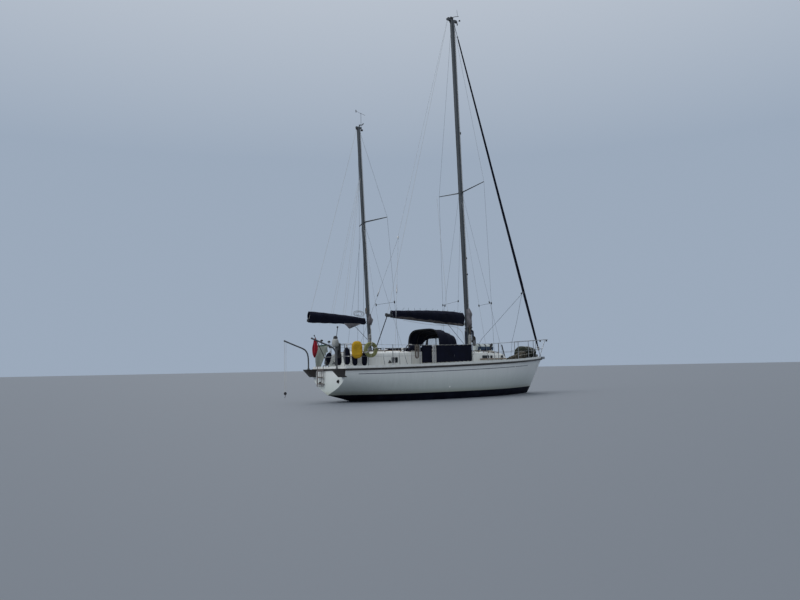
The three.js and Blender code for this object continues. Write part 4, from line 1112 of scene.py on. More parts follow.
# The hatches: a sliding lid on rails over the companionway with its washboard below, and two lifting hatches
# with smoked panels in white frames.
dress("washboard", "companionway_washboard", 30, weathered_teak)
dress("sliding_hatch_lid", "companionway_hatch", 30, cabin_white, "sliding_hatch")
dress("fore_hatch_frame", "fore_hatch", 30, cabin_white, "fore_hatch_lid")
dress("aft_hatch_frame", "aft_hatch", 30, cabin_white, "aft_hatch_lid")
for source, hand, half in (("fore_hatch", -1, 0.16), ("aft_hatch", 1, 0.18)):
    body = source + "_lid"
    low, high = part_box(source)
    middle = (low[0] + high[0]) / 2
    aft, top, fore = [surface(source, (middle + step, 0, 3), (0, 0, -1))[0].z for step in (-0.1, 0, 0.1)]
    tilt = (fore - aft) / 0.2
    rows = []
    for reach, lift in ((half, -0.002), (half, 0.006), (half - 0.012, 0.010), (0.004, 0.010)):
        outline = rounded(-reach, reach, -reach, reach, min(0.03, reach * 0.4), 3)
        rows.append([(middle + a, b, top + tilt * a + lift) for a, b in outline])
    seat(skin(source + "_panel", rows, ring=True), smoked(), body=body)
    reach = (half + 0.035) * hand
    x, z = middle + reach, top + tilt * reach
    parts = [block("hinge", (x - 0.02, y - 0.03, z - 0.001), (x + 0.02, y + 0.03, z + 0.012), 0.003)
        for y in (-0.13, 0.13)]
    x = middle - (half + 0.02) * hand
    parts.append(bar("grip", [(x, -0.05, top), (x, -0.05, top + 0.022), (x, 0.05, top + 0.022),
        (x, 0.05, top)], 0.005))
    fit(source + "_fittings", parts, stainless, body=body)
lid = surface("companionway_hatch", (-0.58, 0, 3), (0, 0, -1))[0].z
grip = bar("hatch_grip", [(-0.58, -0.09, lid - 0.003), (-0.58, -0.09, lid + 0.03), (-0.58, 0.09, lid + 0.03),
    (-0.58, 0.09, lid - 0.003)], 0.007)
seat(grip, stainless, body="sliding_hatch")


# The guard rails: a bow pulpit and a stern pushpit of bent stainless tube, stanchions in cast sockets, and
# two wires on each side with a screw at their ends. Navigation lights and two aerial domes sit on the rails.
for name, source in (
    ("pushpit_tubes", "pushpit"), ("pulpit_tubes", "pulpit"),
    ("guardrail_port_posts", "guardrail_port"), ("guardrail_starboard_posts", "guardrail_starboard"),
):
    dress(name, source, 50, stainless)
sockets = []
for x in POSTS[1:-1]:
    y = half_beam(x) - WIRE_INSET
    z = deck_height(x, y)
    sockets.append(turned("socket", (x, y, z - 0.012), (0, 0, 1),
        [(0, 0.042), (0.018, 0.04), (0.026, 0.024), (0.075, 0.021), (0.08, 0.017)], 14))
for x, y in ((-4.56, half_beam(-4.56) - WIRE_INSET), (-5.33, 0.97), (-5.33, 0.33),
    (4.35, half_beam(4.35) - WIRE_INSET), (5.12, 0.13)):
    z = deck_height(x, min(y, half_beam(x) - 0.06))
    sockets.append(turned("socket", (x, y, z - 0.006), (0, 0, 1),
        [(0, 0.04), (0.012, 0.038), (0.018, 0.02), (0.035, 0.018)], 14))
for x in (-4.56 + 0.05, 4.35 - 0.22):
    for share in (0.5, 1.0):
        low = sheer(x)
        z = low + (wire_height(x) - low) * share
        y = wire_side(max(-4.559, min(4.349, x)))
        ahead = wire_side(min(4.349, x + 0.16)) - wire_side(min(4.34, x))
        sockets.append(turned("screw", (x, y, z), (0.16, ahead, wire_height(x + 0.16) - wire_height(x)),
            [(0, 0.006), (0.02, 0.007), (0.03, 0.010), (0.12, 0.010), (0.13, 0.007), (0.15, 0.006)], 10))
fit("rail_sockets_and_screws", sockets, stainless, pair=True)
lamps = []
for x, y, z, out in ((5.60, -0.185, 2.215, (0.6, -0.8, 0)), (5.60, 0.185, 2.215, (0.6, 0.8, 0)),
    (-5.345, 0.0, 1.90, (-1, 0, 0))):
    lamps.append(turned("lamp", (x, y, z), (0, 0, 1),
        [(0, 0.03), (0.004, 0.038), (0.014, 0.038), (0.016, 0.032), (0.055, 0.032), (0.057, 0.038),
        (0.068, 0.036), (0.075, 0.02)], 14))
fit("navigation_lights", lamps, dark_rubber)
domes = []
for x, y, z in ((-5.33, 0.617, 2.16), (-5.33, 0.087, 2.095)):
    domes.append(bar("stem", [(x, y, wire_height(x) - 0.012), (x, y, z)], 0.011))
    domes.append(turned("dome", (x, y, z - 0.002), (0, 0, 1),
        [(0, 0.02), (0.01, 0.05), (0.03, 0.055), (0.055, 0.045), (0.07, 0.02), (0.073, 0.006)], 18))
fit("aerial_domes", domes, dark_rubber)


# The masts are oval tubes of anodised aluminium with a sail track up the after face, winches, cleats and
# steel bands near the foot, a steaming light two thirds of the way up the main, and aerials and sheaves at
# the heads.
def anodised(colour):
    """Anodising gone chalky in vertical streaks."""
    made = Finish("anodised spars", "anodised", 0.45, 0.75)
    streaks = made.noise(9.0, (2.5, 2.5, 0.12), 5.0)
    scratches = (made.noise(180.0, (1, 1, 0.1), 2.0), 0.15, 0.0006)
    return made.coat(streaks, (0.32, shade(colour, 0.62)), (0.64, colour), (0.36, 0.62, 3.0), scratches)


# The spars' colour is their dark anodising, made darker still as painted shade for masts that stand backlit.
spar_metal_with_painted_shade = anodised((0.10, 0.11, 0.118))
MAIN = {"x": 1.15, "rake": 0.028, "long": 0.215, "wide": 0.14, "top": 15.8}
MIZZEN = {"x": -3.65, "rake": 0.045, "long": 0.135, "wide": 0.095, "top": 10.15}
dress("main_mast_spar", "main_mast", 50, spar_metal_with_painted_shade)
dress("mizzen_mast_spar", "mizzen_mast", 50, spar_metal_with_painted_shade)
dress("main_spreader_arms", "main_spreaders", 50, spar_metal_with_painted_shade)
dress("mizzen_spreader_arms", "mizzen_spreaders", 50, spar_metal_with_painted_shade)
dress("wind_arrow", "wind_vane", 50, dark_rubber, body="vane")


def axis_at(mast, z):
    return mast["x"] - mast["rake"] * (z - 1.5)


def on_mast(mast, z, angle, out=0.0):
    """A point on the mast's skin, by its angle from straight ahead."""
    a = radians(angle)
    reach_x, reach_y = mast["long"] / 2 + out, mast["wide"] / 2 + out
    return Vector((axis_at(mast, z) + reach_x * cos(a), reach_y * sin(a), z))


gear, horns = [], []
drum = [(-0.012, 0.072), (0.012, 0.072), (0.02, 0.05), (0.07, 0.04), (0.098, 0.047), (0.108, 0.056),
    (0.12, 0.05), (0.125, 0.02)]
for mast in (MAIN, MIZZEN):
    high = mast["top"] - 0.05
    for side in (-1, 1):
        rail = [on_mast(mast, 3.05 + (high - 3.05) * k / 24, 180 - 6 * side, 0.004) for k in range(25)]
        gear.append(bar("track", rail, 0.0055, 6))
    for side in (1, -1):
        pad = on_mast(mast, 2.05, 95 * side)
        gear.append(turned("mast_winch", pad, (0, side, 0), [(a * 0.62, r * 0.62) for a, r in drum], 18))
    for z, angle in ((2.30, 70), (2.30, -70), (2.52, 62), (2.52, -62)):
        place = on_mast(mast, z, angle, 0.012)
        out = Vector((0.3, copysign(1, angle), 0)).normalized() * 0.014
        horns.append(bar("cleat", [place + out + Vector((0, 0, h)) for h in (-0.085, -0.04, 0.04, 0.085)],
            0.009, curved=True))
        horns.append(turned("stud", place - out * 1.2, out, [(0, 0.018), (0.02, 0.012), (0.03, 0.011)], 10))
fit("mast_tracks_and_winches", gear, spar_metal_with_painted_shade)
fit("mast_cleats", horns, cast_alloy)
boots = []
for mast in (MAIN, MIZZEN):
    for z in (1.86, 1.875):
        boots.append(bar("band", [on_mast(mast, z, 15 * k, 0.006) for k in range(24)], 0.006, 6, closed=True))
fit("mast_bands", boots, stainless)
place = on_mast(MAIN, 10.92, 0)
aloft = [block("bracket", place - Vector((0.01, 0.03, 0.05)), place + Vector((0.05, 0.03, -0.02)), 0.006)]
lamp = [(0, 0.028), (0.004, 0.036), (0.014, 0.036), (0.016, 0.03), (0.06, 0.03), (0.062, 0.036),
    (0.075, 0.02)]
aloft.append(turned("lamp", place + Vector((0.035, 0, -0.02)), (0, 0, 1), lamp, 14))
for z in (5.62, 4.95):
    spot = on_mast(MAIN, z, -20)
    aloft.append(block("eye", spot - Vector((0.01, 0.02, 0.035)), spot + Vector((0.035, 0.01, 0.035)), 0.008))
fit("mast_lights", aloft, dark_rubber)
whip = [
    block("mount", (0.52, -0.03, 15.835), (0.66, 0.03, 15.90), 0.012),
    block("mount", (0.655, -0.035, 15.835), (0.80, 0.035, 15.965), 0.015),
    bar("tang", [(0.54, 0, 15.85), (0.61, 0, 15.74), (0.67, 0, 15.66)], 0.022, 8),
    block("sheaves", (0.86, -0.03, 15.75), (1.0, 0.03, 15.885), 0.02),
    bar("becket", [(0.99, 0, 15.86), (1.03, 0, 15.79), (1.035, 0, 15.70)], 0.017, 8),
    block("shackle", (1.015, -0.02, 15.68), (1.055, 0.02, 15.73), 0.008),
    bar("arm", [(0.76, 0, 15.95), (0.90, -0.01, 16.04), (1.10, -0.02, 16.09)], 0.012, 8, curved=True),
    bar("whip", [(1.062, -0.02, 16.09), (1.035, -0.02, 16.22), (1.02, -0.02, 16.37)], 0.005, 6),
    bar("spreader", [(0.99, 0, 15.86), (1.17, 0, 15.925)], 0.005, 6),
    turned("cups", (1.17, 0, 15.895), (0, 0, 1), [(0, 0.01), (0.012, 0.035), (0.04, 0.038), (0.06, 0.028),
        (0.07, 0.01)], 12),
    bar("stub", [(-4.0, 0, 10.15), (-3.995, 0, 10.28)], 0.02, 8),
    bar("elbow", [(-4.0, 0, 10.27), (-3.90, 0, 10.275), (-3.83, 0, 10.30), (-3.82, 0, 10.37)], 0.017, 8,
        curved=True),
    block("sheave", (-4.15, -0.03, 10.07), (-4.06, 0.03, 10.15), 0.015),
    block("sheave", (-3.93, -0.03, 10.05), (-3.85, 0.03, 10.12), 0.015),
]
fit("masthead_aerials", whip, dark_rubber)


# Standing rigging of stainless wire: each stay ends in a turnbuckle on its chainplate. Single lowers run
# ahead and abaft each mast, and thin cord with knots ties the shrouds together above the booms.
wire_rope = metal("wire rope", "wire", (0.30, 0.32, 0.34), 0.4, 30.0, 900.0)
for name, source in (
    ("backstay_wire", "main_backstay"), ("backstay_leg_port_wire", "backstay_leg_port"),
    ("backstay_leg_starboard_wire", "backstay_leg_starboard"), ("main_shroud_port_wire", "main_shroud_port"),
    ("main_shroud_starboard_wire", "main_shroud_starboard"),
        ("mizzen_shroud_port_wire", "mizzen_shroud_port"),
    ("mizzen_shroud_starboard_wire", "mizzen_shroud_starboard"),
):
    dress(name, source, 60, wire_rope)


def chainplate_foot(x, inboard):
    y = half_beam(x) - inboard
    return Vector((x, y, deck_height(x, y)))


def screw_end(foot, top, size=1.0):
    """A chainplate, fork and turnbuckle at a stay's foot, in line with the stay."""
    along = (top - foot).normalized()
    profile = [(0.0, 0.007), (0.03, 0.008), (0.035, 0.013), (0.05, 0.013), (0.055, 0.008), (0.09, 0.008),
               (0.095, 0.0125), (0.22, 0.0125), (0.225, 0.008), (0.27, 0.0075), (0.275, 0.0095),
                   (0.34, 0.0085), (0.36, 0.006)]
    screw = turned("turnbuckle", foot + along * 0.02, along, [(a * size, r * size) for a, r in profile], 12)
    plate = block("plate", foot + Vector((-0.02, -0.003, -0.02)), foot + Vector((0.02, 0.003, 0.045)),
        0.002, 1)
    base = block("base", foot + Vector((-0.05, -0.018, -0.006)), foot + Vector((0.05, 0.018, 0.004)),
        0.003, 1)
    return [screw, plate, base]


LOWER_INSET = 0.12
LOWERS = ((MAIN, 8.22, 0.75), (MAIN, 8.22, 1.72), (MIZZEN, 6.44, -3.92), (MIZZEN, 6.44, -3.02))
lowers, screws = [], []
for mast, top_z, x in LOWERS:
    foot = chainplate_foot(x, LOWER_INSET)
    top = on_mast(mast, top_z, 60 if x > axis_at(mast, top_z) else 120, 0.004)
    lowers.append(bar("lower", [foot + Vector((0, 0, 0.03)), top], 0.004, 6))
    screws += screw_end(foot, top)
for x, inboard, top in ((1.13, 0.13, Vector((0.96, 1.4, 8.5))), (-3.33, 0.13, Vector((-3.455, 0.93, 6.63)))):
    screws += screw_end(chainplate_foot(x, inboard), top, 1.1)
leg_foot = Vector((-3.58, 1.42, deck_height(-3.58, 1.42)))
screws += screw_end(leg_foot, Vector((-2.3, 0.007, 6.12)), 1.1)
leg = (Vector((-2.3, 0.007, 6.12)) - leg_foot)
screws.append(turned("adjuster", leg_foot + leg * 0.55, leg,
    [(0, 0.008), (0.02, 0.02), (0.20, 0.02), (0.22, 0.011), (0.36, 0.011), (0.38, 0.006)], 12))
fit("lower_shrouds", lowers, wire_rope, pair=True)
fit("turnbuckles", screws, stainless, pair=True)
seat(block("backstay_plate_cover", (-2.326, -0.018, 6.116), (-2.274, 0.018, 6.194), 0.006), white_plastic)


def along_stay(low, high, z):
    return low.lerp(high, (z - low.z) / (high.z - low.z))


caps = {
    MAIN["x"]: (chainplate_foot(1.13, 0.13), Vector((0.96, 1.41, 8.5))),
    MIZZEN["x"]: (chainplate_foot(-3.33, 0.13), Vector((-3.455, 0.94, 6.63))),
}
cords = []
for mast, side, stays in (
    (MAIN, -1, ((1.72, 3.72), (None, 3.62), (0.75, 3.55))),
        (MAIN, 1, ((1.72, 3.94), (None, 3.80), (0.75, 3.73))),
    (MIZZEN, -1, ((None, 3.50), (-3.92, 3.42))),
):
    points = []
    for x, z in stays:
        if x is None:
            low, high = caps[mast["x"]]
        else:
            hound, angle = 8.22 if mast is MAIN else 6.44, 60 if x > mast["x"] - 0.3 else 120
            low, high = chainplate_foot(x, LOWER_INSET), on_mast(mast, hound, angle, 0.004)
        low, high = (Vector((end.x, side * end.y, end.z)) for end in (low, high))
        points.append(along_stay(low, high, z))
        cords.append(turned("knot", points[-1] + Vector((0, 0, -0.05)), high - low,
            [(0, 0.008), (0.015, 0.022), (0.05, 0.026), (0.085, 0.02), (0.10, 0.009)], 10))
    cords.append(bar("cord", points, 0.005, 6))
fit("shroud_cords", cords, dark_rubber)


# Running lines that stay taut: halyards down the masts, topping lifts from the mast heads to the boom ends,
# lazy jacks over the mizzen, the mainsheet's tackle, the kicking straps and the headsail's sheets.
rope_light = patchy("braided line", "pale_rope", (0.46, 0.45, 0.42), 0.9, grain=420.0, depth=0.5)
rope_dark = patchy("dark braided line", "black_plastic", (0.035, 0.04, 0.05), 0.9, grain=420.0, depth=0.5)
lines = []
for mast in (MAIN, MIZZEN):
    for angle, top in ((28, mast["top"] - 0.03), (-28, mast["top"] - 0.03), (80, mast["top"] * 0.97),
        (-75, mast["top"] * 0.97)):
        lines.append(bar("halyard", [on_mast(mast, 2.30, angle, 0.012), on_mast(mast, top, angle, 0.014)],
            0.0045, 6))
lines.append(bar("flag_halyard", [Vector((0.75, 1.32, 8.45)), Vector((1.35, 1.30, 1.48))], 0.004, 6))
fit("halyards", lines, rope_light)


def crossing(name, points, radius, material):
    """A taut line from a boom to the yacht."""
    rows = [points[0].lerp(points[1], k / 16) for k in range(17)] if len(points) == 2 else points
    piece = bar(name, rows, radius, 6)
    piece.data.materials.clear()
    piece.data.materials.append(material)
    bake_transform(piece)
    return piece


main_end = Vector((-2.85, 0, 3.21))
crossing("main_topping_lift", [main_end, Vector((0.50, 0, 15.765))], 0.004, rope_light)
run = [Vector((-6.17, 0, 2.90)), Vector((axis_at(MIZZEN, 10.1) - 0.075, 0, 10.1))]
crossing("mizzen_topping_lift", run, 0.004, rope_light)
for k, (x, z) in enumerate(((-5.25, 3.10), (-4.75, 3.07))):
    for side in (-1, 1):
        run = [Vector((x, side * 0.075, z)), Vector((axis_at(MIZZEN, 8.2) - 0.06, side * 0.05, 8.2))]
        name = f"lazy_jack_{k}_{'port' if side > 0 else 'starboard'}"
        crossing(name, run, 0.003, rope_light)
SHEAVE = ((0, 0.03), (0.004, 0.042), (0.014, 0.042), (0.018, 0.034), (0.042, 0.034), (0.046, 0.042),
    (0.056, 0.042), (0.06, 0.03))
bridge_z = roof("aft_coachroof", -3.39, 0.0)
tackle_foot = Vector((-3.39, 0, bridge_z + 0.10))
for k, across in enumerate((-0.022, 0.0, 0.022)):
    run = [main_end + Vector((-0.03, across, -0.12)), tackle_foot + Vector((0, across, 0.03))]
    crossing(f"mainsheet_part_{k}", run, 0.006, rope_dark)
blocks = [turned("sheave", main_end + Vector((x, -0.03, -0.10)), (0, 1, 0), SHEAVE, 16)
    for x in (-0.03, 0.06)]
blocks.append(block("boom_cap", (-2.935, -0.058, 3.094), (-2.893, 0.058, 3.212), 0.012))
blocks.append(block("hanger", (-2.90, -0.008, 3.08), (-2.83, 0.008, 3.15), 0.004))
fit("mainsheet_upper_blocks", blocks, dark_rubber, body="main_boom_and_sail")
lower = [turned("sheave", tackle_foot - Vector((0, 0.03, 0)), (0, 1, 0), SHEAVE, 16)]
lower.append(block("jam", tackle_foot + Vector((-0.02, -0.02, -0.06)),
    tackle_foot + Vector((0.03, 0.02, -0.02)), 0.006))
fit("mainsheet_lower_blocks", lower, dark_rubber)
horse = []
for y in (-0.42, 0.42):
    z = roof("aft_coachroof", -3.39, y)
    horse.append(bar("post", [(-3.39, y, z - 0.005), (-3.39, y, bridge_z + 0.035)], 0.013))
horse.append(bar("rail", [(-3.39, -0.43, bridge_z + 0.035), (-3.39, 0.43, bridge_z + 0.035)], 0.014, 10))
fit("mainsheet_horse", horse, stainless)


def boom_point(boom, x, drop=0.0):
    return Vector((x, 0, boom_height(boom, x) - boom["radius"] - drop))


for name, mast, boom, x, z in (("main", MAIN, MAIN_BOOM, 0.05, 1.98),
    ("mizzen", MIZZEN, MIZZEN_BOOM, -4.42, 2.22)):
    foot = Vector((axis_at(mast, z) - mast["long"] / 2 - 0.02, 0, z))
    crossing(f"{name}_kicking_strap", [boom_point(boom, x), foot], 0.008, rope_dark)
under = [boom_point(MAIN_BOOM, x, 0.07 + 0.05 * sin(pi * k / 8))
    for k, x in enumerate((0.35, 0.0, -0.3, -0.6, -0.9, -1.2, -1.5, -1.8, -2.1))]
seat(bar("main_outhaul", under, 0.0055, 6), rope_light, body="main_boom_and_sail")
dress("main_boom_spar", "main_boom", 50, spar_metal_with_painted_shade, "main_boom_and_sail")
dress("mizzen_boom_spar", "mizzen_boom", 50, spar_metal_with_painted_shade, "mizzen_boom_and_sail")
cap = [block("boom_cap", (-6.232, -0.045, 2.803), (-6.203, 0.045, 2.897), 0.01),
    block("eye", (-6.19, -0.006, 2.78), (-6.13, 0.006, 2.815), 0.003)]
fit("mizzen_boom_end", cap, dark_rubber, body="mizzen_boom_and_sail")


# The headsail is rolled round its stay, with the dark sacrificial strip outside. It turns on a drum with its
# furling line, and its two sheets lead aft from the clew.
def stay_x(z):
    return 5.368 - 0.3192 * (z - 1.56)


ROLL = ((2.0053, 0.024), (2.3, 0.046), (4.4, 0.058), (8.5, 0.050), (12.5, 0.038), (15.0, 0.027),
    (15.15, 0.014), (15.769, 0.007))
roll_rows = []
for k in range(151):
    z = 2.012 + (15.10 - 2.012) * k / 150
    radius = between(ROLL, z)[0]
    turn = z * 1.15
    ring = []
    for a in around(20):
        lap = ((a - turn) / (2 * pi)) % 1.0
        r = radius * (0.93 + 0.10 * lap) * (1 + 0.02 * sin(z * 23 + 2 * a))
        ring.append(Vector((stay_x(z) + r * 1.05 * cos(a), r * sin(a), z)))
    roll_rows.append(ring)
roll_piece = sealed(skin("genoa_roll", capped(roll_rows, 0.05), ring=True))
seat(smooth(roll_piece, 50), navy, "furled_genoa")
foil = [bar("foil", [(stay_x(z), 0, z) for z in (15.05, 15.755)], 0.011, 8),
    turned("swivel", (stay_x(15.12), 0, 15.12), (-0.3192, 0, 1),
    [(0, 0.012), (0.01, 0.03), (0.06, 0.03), (0.07, 0.012)], 14)]
fit("genoa_foil", foil, cast_alloy, slot="anodised")
dress("stemhead_plate", "stemhead_roller", 40, stainless)
dress("furler", "furling_drum", 40, stainless)
turns = []
for k in range(5):
    z = 1.865 + 0.016 * k
    turns.append(bar("turn", [(stay_x(z) + 0.042 * cos(a), 0.042 * sin(a), z) for a in around(16)], 0.0075, 6,
        closed=True))
lead = [Vector((stay_x(1.89), -0.045, 1.89)), Vector((4.35, -half_beam(4.35) + 0.12, 1.70)),
    Vector((2.7, -half_beam(2.7) + 0.115, 1.56))]
turns.append(bar("furling_line", lead, 0.004, 6))
fit("furling_line_turns", turns, rope_light)
clew = Vector((stay_x(4.42) - 0.01, 0.0, 4.42))
sheets = []
for side in (-1, 1):
    car = Vector((-0.3, side * (half_beam(-0.3) - 0.105), deck_height(-0.3, half_beam(-0.3) - 0.105) + 0.07))
    lead = [Vector((0.95, -1.02, 2.25))]
    if side > 0:
        lead = [Vector((4.28, 0.30, 3.1)), Vector((4.14, 0.50, 2.2))]
        lead += [Vector((x, half_beam(x) - 0.26, deck_height(x, half_beam(x) - 0.26) + 0.012))
            for x in (4.05, 3.6, 3.0, 2.4, 1.8, 1.2, 0.5)]
    hang = [clew + Vector((0, side * 0.062, 0)), *lead, car]
    sheets.append(bar("sheet", hang, 0.006, 6))
    sheets.append(turned("knot", clew + Vector((-0.03, side * 0.055, -0.05)), (-0.4, side * 0.4, -1),
        [(0, 0.01), (0.02, 0.03), (0.06, 0.03), (0.09, 0.012)], 10))
fit("genoa_sheets", sheets, rope_dark)


# Davits, ladder and their small gear at the stern. The davits are painted steel tubes; the port one carries a
# rope fall with its block. The boarding ladder has wooden treads over its tubes.
dark_steel = patchy("painted steel", "dark_steel", (0.075, 0.08, 0.085), 0.5, 0.2, 0.25, 5.0)
dress("davit_port_arm", "davit_port", 60, dark_steel)
dress("davit_starboard_arm", "davit_starboard", 60, dark_steel)
caps_at = []
for side in (-1, 1):
    caps_at.append(turned("foot", (-5.66, side, 1.1655), (0, 0, 1),
        [(0, 0.062), (0.010, 0.06), (0.014, 0.04), (0.05, 0.036)], 18))
    caps_at.append(turned("tip", (-6.612, side, 2.187), (-0.935, 0, 0.354),
        [(-0.03, 0.031), (0.0, 0.031), (0.012, 0.028), (0.018, 0.012)], 16))
    caps_at.append(bar("cleat", [(-5.70, side - 0.04, 1.52 + h) for h in (-0.08, -0.03, 0.03, 0.08)], 0.009,
        curved=True))
fit("davit_fittings", caps_at, dark_steel)
dress("fall_rope", "davit_fall", 60, rope_light)
dress("fall_block", "davit_block", 40, dark_rubber)
galvanised = patchy("galvanised tube", "stainless", (0.19, 0.17, 0.17), 0.5, 0.3, 0.3, 9.0)
dress("ladder_frame", "boarding_ladder", 50, galvanised)
dress("ladder_foot_frame", "ladder_lower_section", 50, galvanised, body="ladder_foot")
treads = [block("tread", (-5.504, 0.262, z + 0.0105), (-5.462, 0.638, z + 0.0225), 0.004, 1)
    for z in (1.13, 0.88, 0.65)]
fit("ladder_treads", treads, weathered_teak)


# Cloth at the stern: the red ensign gathered on its dark wooden staff, and a lifebuoy in a fitted yellow
# cover with piped edges, strapped to the outside of the quarter rail.
ensign_red = canvas("ensign bunting", "red_cloth", (0.20, 0.012, 0.022), (0.36, 0.025, 0.04))
yellow = canvas("yellow cover", "yellow_cloth", (0.36, 0.20, 0.012), (0.56, 0.34, 0.025))
staff = bar("ensign_staff", [(-5.36, 0, 1.182), (-5.96, 0, 2.33)], 0.0125, 12)
ball_top = turned("truck", (-5.957, 0, 2.322), (-0.46, 0, 0.888),
    [(0, 0.013), (0.006, 0.022), (0.02, 0.026), (0.034, 0.018), (0.038, 0.006)], 14)
fit("ensign_staff", [staff, ball_top], dark_timber())
flag_rows = []
for i in range(34):
    share = i / 33
    width = between(((0, 0.02), (0.12, 0.045), (0.55, 0.085), (0.85, 0.06), (1.0, 0.025)), share)[0]
    row = []
    for j in range(61):
        a = 2 * pi * j / 60 * 0.985 + 0.3
        fold = 1 + 0.30 * sin(6 * a + 1.2 * sin(3.1 * share)) + 0.10 * sin(13 * a + 4 * share)
        z = 2.235 - 0.62 * share
        row.append(Vector((-5.93 - 0.02 * share + width * fold * cos(a), width * 0.8 * fold * sin(a),
            z - 0.05 * sin(a) * share)))
    flag_rows.append(row)
flag = thick(skin("ensign_cloth", flag_rows), 0.0015, 0)
seat(smooth(flag, 60), ensign_red, "ensign")

QUARTER = (Vector((-5.2, -1.1, 0)), Vector((-4.56, -(half_beam(-4.56) - WIRE_INSET), 0)))
quarter_along = (QUARTER[1] - QUARTER[0]).normalized()
quarter_out = Vector((quarter_along.y, -quarter_along.x, 0))


def beside(x, along, out, z):
    """A point beside the starboard quarter rail: along it, out from it and up."""
    foot = QUARTER[0] + quarter_along * ((x - QUARTER[0].x) / quarter_along.x)
    return foot + quarter_along * along + quarter_out * out + Vector((0, 0, z))


buoy_rows = []
for out, size in ((0.016, 0.62), (0.0145, 0.90), (0.026, 0.985), (0.045, 1.0), (0.085, 1.0), (0.108, 0.97),
    (0.121, 0.86), (0.119, 0.6), (0.108, 0.36), (0.104, 0.12)):
    row = []
    for a in around(40):
        u, v = [copysign(abs(value) ** 0.7, value) for value in (cos(a), sin(a))]
        pucker = 1 - (0.02 * (0.5 + 0.5 * sin(14 * a)) if 0.5 < size < 0.99 else 0)
        row.append(beside(-4.98, 0.186 * size * u * pucker, out, 1.805 + 0.29 * size * v * pucker))
    buoy_rows.append(row)
buoy = softer(sealed(skin("lifebuoy_cover", buoy_rows, ring=True)))
seat(smooth(buoy, 60), yellow, "lifebuoy")
rim = [[copysign(abs(value) ** 0.7, value) for value in (cos(a), sin(a))] for a in around(48)]
trim = [bar("piping", [beside(-4.98, 0.187 * u, 0.088, 1.805 + 0.291 * v) for u, v in rim], 0.005, 6,
    closed=True)]
over = ((-0.20, 0.012), (-0.21, 0.06), (-0.185, 0.10), (-0.1, 0.128), (0.1, 0.128), (0.185, 0.10),
    (0.21, 0.06), (0.20, 0.012))
for z in (1.62, 1.97):
    trim.append(bar("strap", [beside(-4.98, u, out, z) for u, out in over], 0.006, 6, curved=True))
fit("lifebuoy_straps", trim, yellow)


# Fenders: five inflated rubber bodies in navy cloth socks, drawn in at the eye. Each hangs by a lanyard that
# is hitched to one line inside the stern rails.
fender_shape = ((0, 0.030), (0.08, 0.080), (0.2, 0.094), (0.5, 0.1), (0.75, 0.098), (0.9, 0.072), (1, 0.022))
FENDERS = (
    (-5.232, 0.47, 1.30, 0.53, 1.05, -0.60), (-5.232, -0.427, 1.29, 0.50, 1.0, 0.05),
    (-5.215, -0.93, 1.30, 0.60, 1.2, 0.03), (-4.975, None, 1.265, 0.51, 1.0, 0.08),
        (-4.65, None, 1.26, 0.50, 1.0, -0.04),
)


def inside_quarter(x):
    """The fenders' place across the boat, just inside the starboard quarter rail."""
    return QUARTER[0].y + (x - QUARTER[0].x) * quarter_along.y / quarter_along.x + 0.0986


socks, knots = [], []
for x, y, low, tall, fat, lean in FENDERS:
    y = inside_quarter(x) if y is None else y
    along = Vector((0, lean, 1)).normalized()
    head = Vector((x, y, low)) + along * tall
    socks.append(turned("sock", (x, y, low), along,
        [(share * tall, r * fat) for share, r in fender_shape], 20))
    knots.append(turned("eye", head - along * 0.004, along,
        [(0, 0.026), (0.02, 0.024), (0.05, 0.017), (0.06, 0.011)], 12))
    top = Vector((x, head.y, 1.965))
    knots.append(bar("lanyard", [head + along * 0.04, head.lerp(top, 0.6) + Vector((0.004, 0, 0)), top],
        0.007, 6))
    knots.append(turned("hitch", top - Vector((0, 0, 0.025)), (0, 0, 1),
        [(0, 0.011), (0.008, 0.018), (0.045, 0.018), (0.052, 0.011)], 10))
fender_row = softer(joined("fender_row", socks))
seat(smooth(fender_row, 60), navy, "fenders")
fit("fender_hitches", knots, rope_light)
run = ((-4.40, inside_quarter(-4.40)), (-5.2, -1.0), (-5.232, -0.9), (-5.232, 0.42))
seat(bar("fender_line", [(x, y, 1.972) for x, y in run], 0.006, 6), rope_light)


# Spare line: a big coil of green mooring line on the quarter rail, a hank of white line between the dodgers,
# and halyard tails hung in hanks at the masts. Each is one real length of rope, wound turn beside turn.
def rope(name, colour, pitch, slot="pale_rope"):
    """Laid rope on the line's own map: strands that run round it on a slant, darker between them."""
    made = Finish(name, slot, 0.95)
    parts = made.apart(made.map)
    lay = made.math("ADD", made.math("MULTIPLY", parts["X"], 1 / pitch),
        made.math("MULTIPLY", parts["Y"], 1 / pitch))
    strand = made.math("ABSOLUTE", made.math("SINE", made.math("MULTIPLY", lay, 6.283)))
    dark = [value * 0.35 for value in colour]
    made.wire(made.mix(made.noise(6.0), made.ramp(strand, (0.1, dark), (0.6, colour)),
        [value * 0.75 for value in colour]), "Base Color")
    made.relief(strand, 0.8, 0.003)
    return made.material


def wound(name, path, diameter, sides=7):
    """A mesh tube along a rope's path."""
    points = [Vector(point) for point in path]
    rows = []
    side = None
    for i, point in enumerate(points):
        along = (points[min(i + 1, len(points) - 1)] - points[max(i - 1, 0)]).normalized()
        side = (side - along * side.dot(along)).normalized() if side else along.orthogonal().normalized()
        other = along.cross(side)
        rows.append([point + (side * cos(a) + other * sin(a)) * diameter / 2 for a in around(sides)])
    return smooth(sealed(skin(name, rows, ring=True)), 70)


